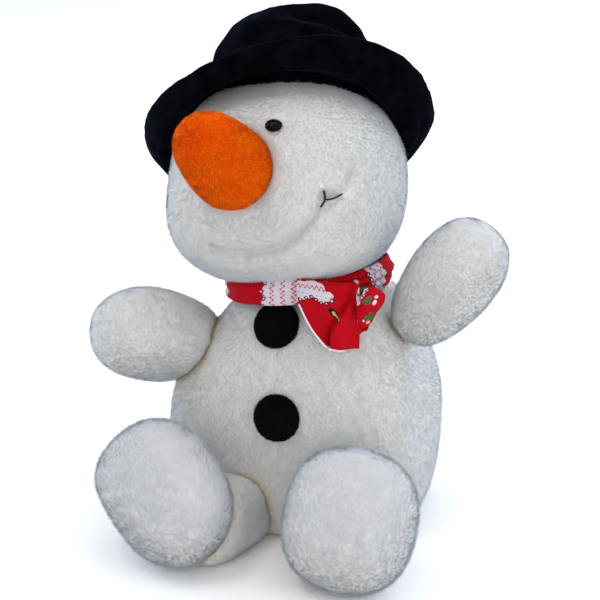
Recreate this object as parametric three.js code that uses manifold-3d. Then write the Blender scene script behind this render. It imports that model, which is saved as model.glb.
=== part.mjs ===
// A sitting, stuffed soft-toy snowman. Millimetres, +Z up, the toy looks along -Y and its left hand is on +X.
import * as THREE from "three";
import { mergeVertices } from "three/addons/utils/BufferGeometryUtils.js";
import Module from "manifold-3d";

const wasm = await Module();
wasm.setup();

// Driving dimensions, in mm unless a name says otherwise.
const GAP = 0.35;
const TORSO = { halfWidth: 71.2, halfDepth: 54, halfHeight: 76, height: 54, shift: -1.7, power: 3.4 };
const TORSO_WAIST = 3;
const TORSO_LEAN = 0.1;
const SHOULDER_RISE = 0.16;
const SHOULDER_TAPER = 0.3;
const HEAD = { halfWidth: 60.2, halfDepth: 59, halfHeight: 56, power: 2.35 };
const HEAD_CENTRE = [-14.8, 12, 180];
const HEAD_TURN_DEG = { back: 18, side: -8, yaw: 3 };
const FACE_MIDDLE = -1;
const CHEEK = { bulgeRight: 7, bulgeLeft: 5, spread: 0.45 };
const NOSE = { length: 42, baseRadius: 21, tipRadius: 17 };
const EYE_RADIUS = 4.9;
const HAT_ORIGIN = [-24.2, 35.6, 209.7];
const HAT_UP = [-0.2865, 0.7875, 0.5448];
const CROWN = { baseRadius: 47.5, topRadius: 43, height: 46.5, dent: 9, shift: [3.4, 1.2, 0] };
const BRIM = {
  innerRadius: 49,
  contactRadius: 59,
  contactDrop: 22,
  outerRadius: 74,
  outerDrop: 9,
  thickness: 3.2,
};
const BRIM_FLOP = { stretch: [4.9, -3.2], tilt: [-2.9, 3.3], twist: [2.8, -2.7] };
const BAND = { centre: [-1, 10, 129], radius: 44, height: 15, thickness: 4.2, tilt: 0.15 };
const BUTTON = { radius: 12.5, thickness: 5 };
const LEG = { halfWidth: 28.5, halfHeight: 21, length: 108, lift: 14, spread: 0.2 };
const FOOT = { halfWidth: 34.5, halfThickness: 23.5, halfHeight: 37.5, power: 2.5 };
const FOOT_RIGHT_STRETCH = { wide: 0.99, tall: 1.07 };
const STITCH = { radius: 0.8, length: 8 };
const KNOT = { centre: [37, -20, 136], half: [12, 8, 10] };
const TAIL_LONG = { top: [8, 34, 121], bottom: [18, 35.5, 107] };
const TAIL_SHORT = { top: [35.5, 39, 117], bottom: [37, 43, 109] };
const TAIL = { rest: 1, lift: 4, thickness: 3.4 };

// Turns a closed geometry into a solid.
function solidOf(geometry) {
  const bare = geometry.clone();
  bare.deleteAttribute("normal");
  bare.deleteAttribute("uv");
  const merged = mergeVertices(bare, 1e-3);
  return new wasm.Manifold(
    new wasm.Mesh({
      numProp: 3,
      vertProperties: new Float32Array(merged.attributes.position.array),
      triVerts: new Uint32Array(merged.index.array),
    }),
  );
}

// Turns a solid into a named mesh with its own material.
function meshOf(name, solid, colour, roughness = 0.9) {
  const data = solid.getMesh();
  const count = data.vertProperties.length / data.numProp;
  const positions = new Float32Array(count * 3);
  for (let i = 0; i < count; i += 1) {
    const start = i * data.numProp;
    positions.set(data.vertProperties.subarray(start, start + 3), i * 3);
  }
  const geometry = new THREE.BufferGeometry();
  geometry.setAttribute("position", new THREE.BufferAttribute(positions, 3));
  geometry.setIndex(new THREE.BufferAttribute(new Uint32Array(data.triVerts), 1));
  geometry.computeVertexNormals();
  const mesh = new THREE.Mesh(geometry, new THREE.MeshStandardMaterial({ color: colour, roughness }));
  mesh.name = name;
  return mesh;
}

// Moves every vertex of a geometry by a function of its position.
function reshape(geometry, move) {
  const place = geometry.attributes.position;
  const point = new THREE.Vector3();
  for (let i = 0; i < place.count; i += 1) {
    point.fromBufferAttribute(place, i);
    move(point);
    place.setXYZ(i, point.x, point.y, point.z);
  }
  return geometry;
}

// The same closed skin, moved out along its normals.
function grown(geometry, distance) {
  const bare = geometry.clone();
  bare.deleteAttribute("normal");
  bare.deleteAttribute("uv");
  const merged = mergeVertices(bare, 1e-3);
  merged.computeVertexNormals();
  const place = merged.attributes.position;
  const normal = merged.attributes.normal;
  for (let i = 0; i < place.count; i += 1) {
    place.setXYZ(
      i,
      place.getX(i) + distance * normal.getX(i),
      place.getY(i) + distance * normal.getY(i),
      place.getZ(i) + distance * normal.getZ(i),
    );
  }
  return merged;
}

// A unit ball with its poles on Z.
function ball(columns, rows) {
  return new THREE.SphereGeometry(1, columns, rows).rotateX(Math.PI / 2);
}

// Pushes a point of the unit ball out to a rounded box of these half sizes; power 2 is an ellipsoid.
function toCushion(point, halfX, halfY, halfZ, power) {
  const sum =
    Math.abs(point.x / halfX) ** power +
    Math.abs(point.y / halfY) ** power +
    Math.abs(point.z / halfZ) ** power;
  point.multiplyScalar(sum ** (-1 / power));
}

// A smooth step from 0 to 1 between two values.
function ease(value, from, to) {
  return THREE.MathUtils.smoothstep(value, from, to);
}

// A smooth hill of height 1 round a direction.
function hill(direction, centre, spread) {
  const away = direction.distanceTo(centre);
  return Math.exp(-((away / spread) ** 2));
}

// A transform that carries +Z to the given direction and the origin to the given place.
function standing(direction, place, spinDeg = 0) {
  const up = new THREE.Vector3(...direction).normalize();
  const turn = new THREE.Quaternion().setFromUnitVectors(new THREE.Vector3(0, 0, 1), up);
  const spin = new THREE.Quaternion().setFromAxisAngle(up, THREE.MathUtils.degToRad(spinDeg));
  const at = new THREE.Vector3(...place);
  return new THREE.Matrix4().compose(at, spin.multiply(turn), new THREE.Vector3(1, 1, 1));
}

// The stuffed body: wide and round below, sloping shoulders, its left shoulder a little higher.
function torsoSkin() {
  return reshape(ball(28, 20), (p) => {
    toCushion(p, TORSO.halfWidth, TORSO.halfDepth, TORSO.halfHeight, TORSO.power);
    const up = ease(p.z, TORSO_WAIST, TORSO.halfHeight);
    p.x *= 1 - SHOULDER_TAPER * up;
    p.y *= 1 - 0.22 * up;
    p.z += SHOULDER_RISE * p.x * up;
    p.z += TORSO.height;
    p.x += TORSO.shift;
    p.y += TORSO_LEAN * (p.z - 30);
  });
}

const headTurn = new THREE.Matrix4().makeRotationFromEuler(
  new THREE.Euler(
    THREE.MathUtils.degToRad(-HEAD_TURN_DEG.back),
    THREE.MathUtils.degToRad(HEAD_TURN_DEG.side),
    THREE.MathUtils.degToRad(-HEAD_TURN_DEG.yaw),
    "ZYX",
  ),
);
const headPlace = new THREE.Matrix4().makeTranslation(...HEAD_CENTRE).multiply(headTurn);

// Shapes one direction of the head, in the head's own axes: a full ball with two cheeks and a chin.
function toHead(p) {
  const direction = p.clone().normalize();
  toCushion(p, HEAD.halfWidth, HEAD.halfDepth, HEAD.halfHeight, HEAD.power);
  for (const side of [-1, 1]) {
    const cheek = new THREE.Vector3(0.72 * side, -0.5, -0.48).normalize();
    const bulge = side < 0 ? CHEEK.bulgeRight : CHEEK.bulgeLeft;
    p.addScaledVector(direction, bulge * hill(direction, cheek, CHEEK.spread));
  }
}

function headSkin() {
  return reshape(ball(28, 19), toHead).applyMatrix4(headPlace);
}

// A place on the face, given by its angle to the toy's left and its height angle.
function onFace(leftDeg, upDeg) {
  const left = THREE.MathUtils.degToRad(leftDeg);
  const up = THREE.MathUtils.degToRad(upDeg);
  const direction = new THREE.Vector3(
    Math.sin(left) * Math.cos(up),
    -Math.cos(left) * Math.cos(up),
    Math.sin(up),
  );
  const point = direction.clone();
  toHead(point);
  point.applyMatrix4(headPlace);
  const outward = direction.transformDirection(headPlace);
  return { point, outward };
}

// The orange nose: a rounded cone, blunt at its tip.
function noseSkin() {
  const profile = [
    [0, -12],
    [NOSE.baseRadius * 0.8, -11],
    [NOSE.baseRadius, -3],
    [NOSE.baseRadius * 1.02, 5],
    [NOSE.baseRadius * 0.98, 14],
    [NOSE.baseRadius * 0.9, 23],
    [NOSE.tipRadius * 0.98, 32],
    [NOSE.tipRadius * 0.72, 38.5],
    [NOSE.tipRadius * 0.4, 42.5],
    [0, NOSE.length],
  ];
  const points = profile.map(([r, z]) => new THREE.Vector2(r, z));
  return new THREE.LatheGeometry(points, 22).rotateX(Math.PI / 2);
}

// The hat's crown, with its top pressed in along the middle.
function crownSkin() {
  const profile = [
    [0, -16],
    [CROWN.baseRadius - 2, -16],
    [BRIM.innerRadius + 2.5, -6],
    [CROWN.baseRadius + 0.8, 1.5],
    [CROWN.baseRadius - 0.5, 10],
    [CROWN.baseRadius - 1.5, 22],
    [CROWN.topRadius + 1.2, CROWN.height - 12],
    [CROWN.topRadius - 3, CROWN.height - 3.5],
    [CROWN.topRadius - 11, CROWN.height],
    [CROWN.topRadius - 26, CROWN.height],
    [0, CROWN.height],
  ];
  const points = profile.map(([r, z]) => new THREE.Vector2(r, z));
  const skin = new THREE.LatheGeometry(points, 20).rotateX(Math.PI / 2);
  reshape(skin, (p) => {
    const top = ease(p.z, CROWN.height * 0.55, CROWN.height);
    const dent = Math.exp(-((p.x / 30) ** 2) - ((p.y / 15) ** 2));
    p.z -= CROWN.dent * dent * top;
  });
  const seat = HAT_ORIGIN.map((value, i) => value + CROWN.shift[i]);
  return skin.applyMatrix4(standing(HAT_UP, seat));
}

// The hat's brim: down over the head, then flared out again.
function brimSkin() {
  const half = BRIM.thickness / 2;
  const line = [
    [BRIM.innerRadius, -3],
    [(BRIM.innerRadius + BRIM.contactRadius) / 2 + 2.5, -BRIM.contactDrop * 0.55],
    [BRIM.contactRadius + 2.5, -BRIM.contactDrop * 0.93],
    [BRIM.contactRadius + 8, -BRIM.contactDrop],
    [BRIM.outerRadius - 4, -(BRIM.contactDrop + BRIM.outerDrop) / 2],
    [BRIM.outerRadius, -BRIM.outerDrop],
  ];
  const outer = [];
  const inner = [];
  line.forEach(([r, z], i) => {
    const before = line[Math.max(i - 1, 0)];
    const after = line[Math.min(i + 1, line.length - 1)];
    const along = new THREE.Vector2(after[0] - before[0], after[1] - before[1]).normalize();
    outer.push(new THREE.Vector2(r - along.y * half, z + along.x * half));
    inner.push(new THREE.Vector2(r + along.y * half, z - along.x * half));
  });
  const loop = [...inner, ...outer.reverse(), inner[0].clone()];
  const skin = new THREE.LatheGeometry(loop, 32).rotateX(Math.PI / 2);
  reshape(skin, (p) => {
    const radius = Math.hypot(p.x, p.y);
    const turn = Math.atan2(p.y, p.x);
    const loose = ease(radius, BRIM.contactRadius - 2, BRIM.outerRadius);
    const wave = (pair, times) => pair[0] * Math.cos(times * turn) + pair[1] * Math.sin(times * turn);
    const wider = (radius + loose * wave(BRIM_FLOP.stretch, 2)) / radius;
    p.x *= wider;
    p.y *= wider;
    p.z += loose * (wave(BRIM_FLOP.tilt, 1) + wave(BRIM_FLOP.twist, 2));
  });
  return skin.applyMatrix4(standing(HAT_UP, HAT_ORIGIN));
}

// A stuffed arm from its root inside the shoulder to its rounded tip.
function armSkin(root, tip, width, depth, spinDeg) {
  const from = new THREE.Vector3(...root);
  const to = new THREE.Vector3(...tip);
  const half = from.distanceTo(to) / 2;
  const axis = to.clone().sub(from).normalize();
  const middle = from.clone().add(to).multiplyScalar(0.5);
  const skin = reshape(ball(18, 12), (p) => {
    toCushion(p, width, depth, half, 2.8);
    const swell = 0.8 + 0.2 * ease(p.z, -half, half * 0.3);
    p.x *= swell;
    p.y *= swell;
  });
  return skin.applyMatrix4(standing(axis.toArray(), middle.toArray(), spinDeg));
}

// A short leg lying forward from the body.
function legSkin(side, centreX, centreY) {
  const skin = reshape(ball(18, 12), (p) => {
    toCushion(p, LEG.halfWidth, LEG.halfHeight, LEG.length / 2, 3.2);
  });
  return skin.applyMatrix4(standing([LEG.spread * side, -0.98, 0.02], [centreX, centreY, LEG.lift]));
}

// A large foot standing on its heel, sole forward.
function footSkin(centre, aim, spinDeg, stretch = { wide: 1, tall: 1 }) {
  const skin = reshape(ball(22, 14), (p) => {
    const halfWidth = FOOT.halfWidth * stretch.wide;
    const halfHeight = FOOT.halfHeight * stretch.tall;
    toCushion(p, halfWidth, halfHeight, FOOT.halfThickness, FOOT.power);
  });
  return skin.applyMatrix4(standing(aim, centre, spinDeg));
}

function bandSkin() {
  const half = BAND.thickness / 2;
  const tall = BAND.height / 2;
  const loop = [
    [BAND.radius - half, -tall],
    [BAND.radius + half, -tall],
    [BAND.radius + half + 0.6, 0],
    [BAND.radius + half, tall],
    [BAND.radius - half, tall],
    [BAND.radius - half, -tall],
  ].map(([r, z]) => new THREE.Vector2(r, z));
  const skin = new THREE.LatheGeometry(loop, 32).rotateX(Math.PI / 2);
  reshape(skin, (p) => {
    p.y *= 0.92;
  });
  return skin.applyMatrix4(standing([-BAND.tilt, 0.12, 1], BAND.centre));
}

// The first place where a line from the front, straight back, meets a skin.
function frontOf(skin, x, z) {
  const ray = new THREE.Raycaster(new THREE.Vector3(x, -300, z), new THREE.Vector3(0, 1, 0));
  const hit = ray.intersectObject(new THREE.Mesh(skin))[0];
  return { point: hit.point, outward: hit.face.normal.clone() };
}

// A thick cloth disc with an eased edge.
function buttonSkin(seat) {
  const half = BUTTON.thickness / 2;
  const profile = [
    [0, -half - 1.5],
    [BUTTON.radius - 1, -half - 1.5],
    [BUTTON.radius, -half + 1],
    [BUTTON.radius, half - 1.5],
    [BUTTON.radius - 1.6, half],
    [0, half + 0.4],
  ].map(([r, z]) => new THREE.Vector2(r, z));
  const place = seat.point.clone().addScaledVector(seat.outward, half + 0.4);
  const skin = new THREE.LatheGeometry(profile, 20).rotateX(Math.PI / 2);
  return skin.applyMatrix4(standing(seat.outward.toArray(), place.toArray()));
}

// A domed bead with its back in the pile.
function eyeSkin(seat) {
  const skin = reshape(ball(10, 8), (p) => {
    toCushion(p, EYE_RADIUS, EYE_RADIUS, EYE_RADIUS * 0.8, 2);
  });
  return skin.applyMatrix4(standing(seat.outward.toArray(), seat.point.toArray()));
}

// One dark thread laid on the face.
function stitchSkin(seat, leanX) {
  const lift = seat.outward.clone().multiplyScalar(STITCH.radius + GAP);
  const place = seat.point.clone().add(lift);
  const across = new THREE.Vector3(leanX, 0, 1).cross(seat.outward).cross(seat.outward).negate();
  const skin = new THREE.CapsuleGeometry(STITCH.radius, STITCH.length, 2, 8).rotateX(Math.PI / 2);
  return skin.applyMatrix4(standing(across.toArray(), place.toArray()));
}

// A flat strip of cloth that lies on the chest between a top and a bottom edge.
function tailSkin(under, top, bottom) {
  return reshape(new THREE.BoxGeometry(1, 1, 1, 4, 1, 4), (p) => {
    const down = 0.5 - p.z;
    const left = THREE.MathUtils.lerp(top[0], bottom[0], down);
    const right = THREE.MathUtils.lerp(top[1], bottom[1], down);
    const x = THREE.MathUtils.lerp(left, right, p.x + 0.5);
    const z = THREE.MathUtils.lerp(top[2], bottom[2], down);
    const seat = frontOf(under, x, z);
    const off = TAIL.rest + TAIL.lift * (1 - down) ** 2 + TAIL.thickness * (0.5 - p.y);
    p.copy(seat.point).addScaledVector(new THREE.Vector3(0, -1, 0), off);
  });
}

const skins = {
  head: headSkin(),
  torso: torsoSkin(),
  crown: crownSkin(),
  brim: brimSkin(),
  band: bandSkin(),
  armRight: armSkin([-50, 0, 82], [-97, -58, 113], 25.2, 23, 0),
  armLeft: armSkin([54.5, 2, 105], [100, -8, 171.5], 22.6, 20.5, 0),
  legRight: legSkin(-1, -30, -52),
  legLeft: legSkin(1, 38, -44),
  footRight: footSkin([-46.8, -92.5, 37.3], [-0.15, -0.93, 0.33], 40, FOOT_RIGHT_STRETCH),
  footLeft: footSkin([52.5, -84, 36.3], [0.12, -0.94, 0.3], 0),
};

const noseSeat = onFace(-4.6, 4);
const noseAim = [-0.253, -0.684, 0.681];
skins.nose = noseSkin().applyMatrix4(standing(noseAim, noseSeat.point.toArray()));
skins.knot = reshape(ball(12, 8), (p) => {
  toCushion(p, ...KNOT.half, 2.4);
  p.add(new THREE.Vector3(...KNOT.centre));
});

const solids = Object.fromEntries(Object.entries(skins).map(([name, skin]) => [name, solidOf(skin)]));
const clear = Object.fromEntries(
  Object.entries(skins).map(([name, skin]) => [name, solidOf(grown(skin, GAP))]),
);

const part = new THREE.Group();
part.name = "plush_snowman";

const WHITE = 0xf2f1ec;
const BLACK = 0x14141a;
const RED = 0xb5121f;
const floor = [0, 0, 1];
const torso = solids.torso.trimByPlane(floor, 0).subtract(clear.head).subtract(clear.band);
const head = solids.head.subtract(clear.band).subtract(clear.nose).subtract(clear.knot);
const crown = solids.crown.subtract(clear.head);
const brim = solids.brim.subtract(clear.crown).subtract(clear.head);
part.add(meshOf("torso", torso.subtract(clear.knot), WHITE));
part.add(meshOf("head", head, WHITE));
part.add(meshOf("nose", solids.nose, 0xe8720c));
part.add(meshOf("hat_crown", crown, BLACK));
part.add(meshOf("hat_brim", brim, BLACK));
part.add(meshOf("scarf_band", solids.band.subtract(clear.knot), RED));
part.add(meshOf("scarf_knot", solids.knot, RED));

for (const [name, size] of [
  ["scarf_tail_long", TAIL_LONG],
  ["scarf_tail_short", TAIL_SHORT],
]) {
  const tail = solidOf(tailSkin(skins.torso, size.top, size.bottom));
  const cut = tail.subtract(clear.knot).subtract(clear.band).subtract(clear.torso).subtract(clear.head);
  part.add(meshOf(name, cut, RED));
}

part.add(meshOf("arm_right", solids.armRight.subtract(clear.torso), WHITE));
part.add(meshOf("arm_left", solids.armLeft.subtract(clear.torso).subtract(clear.knot), WHITE));
for (const side of ["Right", "Left"]) {
  const foot = solids["foot" + side].trimByPlane(floor, 0);
  const leg = solids["leg" + side].trimByPlane(floor, 0).subtract(clear.torso).subtract(clear["foot" + side]);
  part.add(meshOf("leg_" + side.toLowerCase(), leg, WHITE));
  part.add(meshOf("foot_" + side.toLowerCase(), foot, WHITE));
}

for (const [name, x, z] of [
  ["button_upper", -7, 113],
  ["button_lower", 0.5, 70.2],
]) {
  const button = solidOf(buttonSkin(frontOf(skins.torso, x, z)));
  part.add(meshOf(name, button.subtract(clear.torso), BLACK));
}
for (const [name, side, mouthEnd] of [
  ["right", -1, -54],
  ["left", 1, 40.5],
]) {
  const eye = solidOf(eyeSkin(onFace(FACE_MIDDLE + side * 17, 25.5)));
  part.add(meshOf("eye_" + name, eye.subtract(clear.head).subtract(clear.nose), BLACK, 0.1));
  const stitch = solidOf(stitchSkin(onFace(mouthEnd, -9), 0.1 * side));
  part.add(meshOf("mouth_stitch_" + name, stitch.subtract(clear.head), BLACK));
}

// The origin goes to the middle of the base of the whole toy.
const bounds = new THREE.Box3().setFromObject(part, true);
const middle = bounds.getCenter(new THREE.Vector3());
for (const mesh of part.children) {
  mesh.geometry.translate(-middle.x, -middle.y, -bounds.min.z);
}

export default part;
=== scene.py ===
"""Looks of a sitting plush snowman: combed white pile, velveteen hat, printed cotton scarf, felt buttons."""

from __future__ import annotations

import logging
import math
from dataclasses import dataclass, replace
from enum import Enum
from typing import Callable, ClassVar, Iterable, Sequence

import bmesh
import bpy
import numpy as np
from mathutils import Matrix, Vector
from mathutils.bvhtree import BVHTree

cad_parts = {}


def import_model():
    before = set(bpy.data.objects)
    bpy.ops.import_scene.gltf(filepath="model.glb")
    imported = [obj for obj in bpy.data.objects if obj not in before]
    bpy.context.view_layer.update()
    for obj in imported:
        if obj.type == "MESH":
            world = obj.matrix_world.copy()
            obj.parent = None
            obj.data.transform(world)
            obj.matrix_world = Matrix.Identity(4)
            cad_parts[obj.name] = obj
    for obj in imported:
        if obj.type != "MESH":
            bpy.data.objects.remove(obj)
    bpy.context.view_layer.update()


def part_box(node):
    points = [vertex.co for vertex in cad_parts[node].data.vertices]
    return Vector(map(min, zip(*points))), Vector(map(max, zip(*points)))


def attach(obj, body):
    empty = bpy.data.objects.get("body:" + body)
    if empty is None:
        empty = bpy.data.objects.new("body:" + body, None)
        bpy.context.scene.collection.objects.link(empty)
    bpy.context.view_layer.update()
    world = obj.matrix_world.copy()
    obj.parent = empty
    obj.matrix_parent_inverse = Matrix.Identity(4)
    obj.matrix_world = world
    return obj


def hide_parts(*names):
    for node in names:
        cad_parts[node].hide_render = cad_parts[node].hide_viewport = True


LOG = logging.getLogger("plush")
MM = 0.001
BODY = "root"
LIMBS = ("arm_right", "arm_left", "leg_right", "leg_left")
COVERS = ("hat_crown", "hat_brim", "scarf_band", "nose")
SOLIDS = ("torso", *LIMBS, "foot_right", "foot_left", *COVERS)
CLOTH_UV = "Cloth"
UV_MM = 100.0

Spot = tuple[float, float, float]
Colour = tuple[float, float, float]
Line = tuple[Spot, ...]
Socket = bpy.types.NodeSocket


class Slot(Enum):
    """Material slots of the pieces, logged as each one is declared."""

    WHITE = "white_pile"
    LONG = "long_pile"
    ORANGE = "orange_pile"
    HAT = "hat_cloth"
    SCARF = "scarf_cotton"
    FELT = "button_felt"
    BEAD = "eye_bead"
    THREAD = "dark_thread"


# ---------------------------------------------------------------- mesh helpers


def new_object(name: str, mesh: bpy.types.Mesh) -> bpy.types.Object:
    """Put a mesh in the scene under a name.

    Args:
        name: Name of the new object.
        mesh: Its mesh.

    Returns:
        The object, at the origin and unturned.
    """
    mesh.name = name
    piece = bpy.data.objects.new(name, mesh)
    bpy.context.scene.collection.objects.link(piece)
    return piece


def from_bmesh(name: str, work: bmesh.types.BMesh) -> bpy.types.Object:
    """Turn a finished bmesh into a piece.

    Args:
        name: Name of the new piece.
        work: The bmesh, which is freed.

    Returns:
        The piece.
    """
    mesh = bpy.data.meshes.new(name)
    work.to_mesh(mesh)
    work.free()
    return new_object(name, mesh)


def node_copy(node: str, name: str) -> bpy.types.Object:
    """Copy a solid of the frame and join its loose triangles.

    Args:
        node: Name of the solid.
        name: Name of the copy.

    Returns:
        The copy, as one closed skin.
    """
    work = bmesh.new()
    work.from_mesh(bpy.data.objects[node].data)
    bmesh.ops.remove_doubles(work, verts=work.verts, dist=0.02 * MM)
    return from_bmesh(name, work)


def settle(piece: bpy.types.Object) -> None:
    """Apply every modifier of a piece to its mesh.

    Args:
        piece: The piece to change.
    """
    bpy.context.view_layer.update()
    graph = bpy.context.evaluated_depsgraph_get()
    done = bpy.data.meshes.new_from_object(piece.evaluated_get(graph))
    piece.modifiers.clear()
    old = piece.data
    piece.data = done
    done.name = piece.name
    bpy.data.meshes.remove(old)


def remesh(piece: bpy.types.Object, voxel_mm: float, rounds: int, subdivide: int = 0) -> None:
    """Give a piece an even, softened skin.

    Args:
        piece: The piece to change.
        voxel_mm: Spacing of the new skin, in millimetres.
        rounds: Number of smoothing rounds.
        subdivide: Levels of subdivision after smoothing.
    """
    grid = piece.modifiers.new("grid", "REMESH")
    grid.mode = "VOXEL"
    grid.voxel_size = voxel_mm * MM
    ease = piece.modifiers.new("ease", "SMOOTH")
    ease.factor = 0.5
    ease.iterations = rounds
    if subdivide:
        finer = piece.modifiers.new("finer", "SUBSURF")
        finer.levels = subdivide
        finer.render_levels = subdivide
    settle(piece)
    shade_smooth(piece.data)


def shade_smooth(mesh: bpy.types.Mesh) -> None:
    """Shade every face of a mesh smooth."""
    mesh.polygons.foreach_set("use_smooth", np.ones(len(mesh.polygons), bool))


def rows_of(mesh: bpy.types.Mesh, field: str) -> np.ndarray:
    """Read three numbers from every point of a mesh.

    Args:
        mesh: The mesh.
        field: Name of the points' field, such as co or normal.

    Returns:
        One row to a point.
    """
    flat = np.zeros(len(mesh.vertices) * 3)
    mesh.vertices.foreach_get(field, flat)
    return flat.reshape(-1, 3)


def points_of(mesh: bpy.types.Mesh) -> np.ndarray:
    """Return a mesh's points as rows, in metres."""
    return rows_of(mesh, "co")


def normals_of(mesh: bpy.types.Mesh) -> np.ndarray:
    """Return a mesh's point normals as rows."""
    return rows_of(mesh, "normal")


def place_points(mesh: bpy.types.Mesh, points: np.ndarray) -> None:
    """Write rows of points back to a mesh."""
    mesh.vertices.foreach_set("co", points.astype(np.float32).ravel())
    mesh.update()


def tree_of(piece: bpy.types.Object) -> BVHTree:
    """Build a search tree over a piece's faces.

    Args:
        piece: The piece.

    Returns:
        The tree.
    """
    work = bmesh.new()
    work.from_mesh(piece.data)
    tree = BVHTree.FromBMesh(work)
    work.free()
    return tree


def unit(rows: np.ndarray) -> np.ndarray:
    """Return rows scaled to length one."""
    return rows / np.maximum(np.linalg.norm(rows, axis=-1, keepdims=True), 1e-12)


def ramp(value: np.ndarray, start: float, end: float) -> np.ndarray:
    """Return a smooth step from 0 at start to 1 at end."""
    t = np.clip((value - start) / (end - start), 0.0, 1.0)
    return t * t * (3.0 - 2.0 * t)


def hump(value: np.ndarray, spread: float) -> np.ndarray:
    """Return a soft hump, 1 where the value is 0 and fading over its spread."""
    return np.exp(-((value / spread) ** 2))


def curve_through(points: Sequence[Vector], steps: int = 12) -> np.ndarray:
    """Run a smooth line through a few points.

    Args:
        points: The points, at least two.
        steps: Number of steps between two points.

    Returns:
        The line's points as rows.
    """
    p = np.array([points[0], *points, points[-1]], float)
    rows = []
    for i in range(1, len(p) - 2):
        a, b, c, d = p[i - 1], p[i], p[i + 1], p[i + 2]
        for t in np.linspace(0.0, 1.0, steps, endpoint=False):
            bend = 2 * b + (c - a) * t + (2 * a - 5 * b + 4 * c - d) * t**2
            rows.append(0.5 * (bend + (3 * b - a - 3 * c + d) * t**3))
    rows.append(p[-2])
    return np.array(rows)


def sewn_line(spots: Sequence[Spot]) -> np.ndarray:
    """Return a smooth line in metres through places given in millimetres."""
    return curve_through([Vector(spot) * MM for spot in spots])


def gap_to(points: np.ndarray, line: np.ndarray) -> np.ndarray:
    """Measure how far points are from a line.

    Args:
        points: The points, in metres.
        line: The line's points, in metres.

    Returns:
        Each point's distance to the nearest point of the line, in millimetres.
    """
    best = np.full(len(points), np.inf)
    for spot in line:
        best = np.minimum(best, np.linalg.norm(points - spot, axis=1))
    return best / MM


class Ripple:
    """A smooth, seeded field of vectors for flow and unevenness."""

    def __init__(self, seed: int, wave_mm: float, count: int = 7) -> None:
        """Draw the waves.

        Args:
            seed: Seed of the draw.
            wave_mm: Typical wave length in millimetres.
            count: Number of waves.
        """
        draw = np.random.default_rng(seed)
        self.ways = unit(draw.normal(size=(count, 3))) * (2 * math.pi / (wave_mm * MM))
        self.ways *= draw.uniform(0.6, 1.6, (count, 1))
        self.turns = draw.uniform(0, 2 * math.pi, (count, 3))
        self.pull = draw.normal(size=(count, 3)) / math.sqrt(count)

    def at(self, points: np.ndarray) -> np.ndarray:
        """Read the field.

        Args:
            points: Places, in metres.

        Returns:
            The field's vector at each place.
        """
        out = np.zeros_like(points)
        for way, turn, pull in zip(self.ways, self.turns, self.pull):
            phase = points @ way
            out += np.sin(phase[:, None] + turn) * pull
        return out


# ---------------------------------------------------------------- pile


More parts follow.
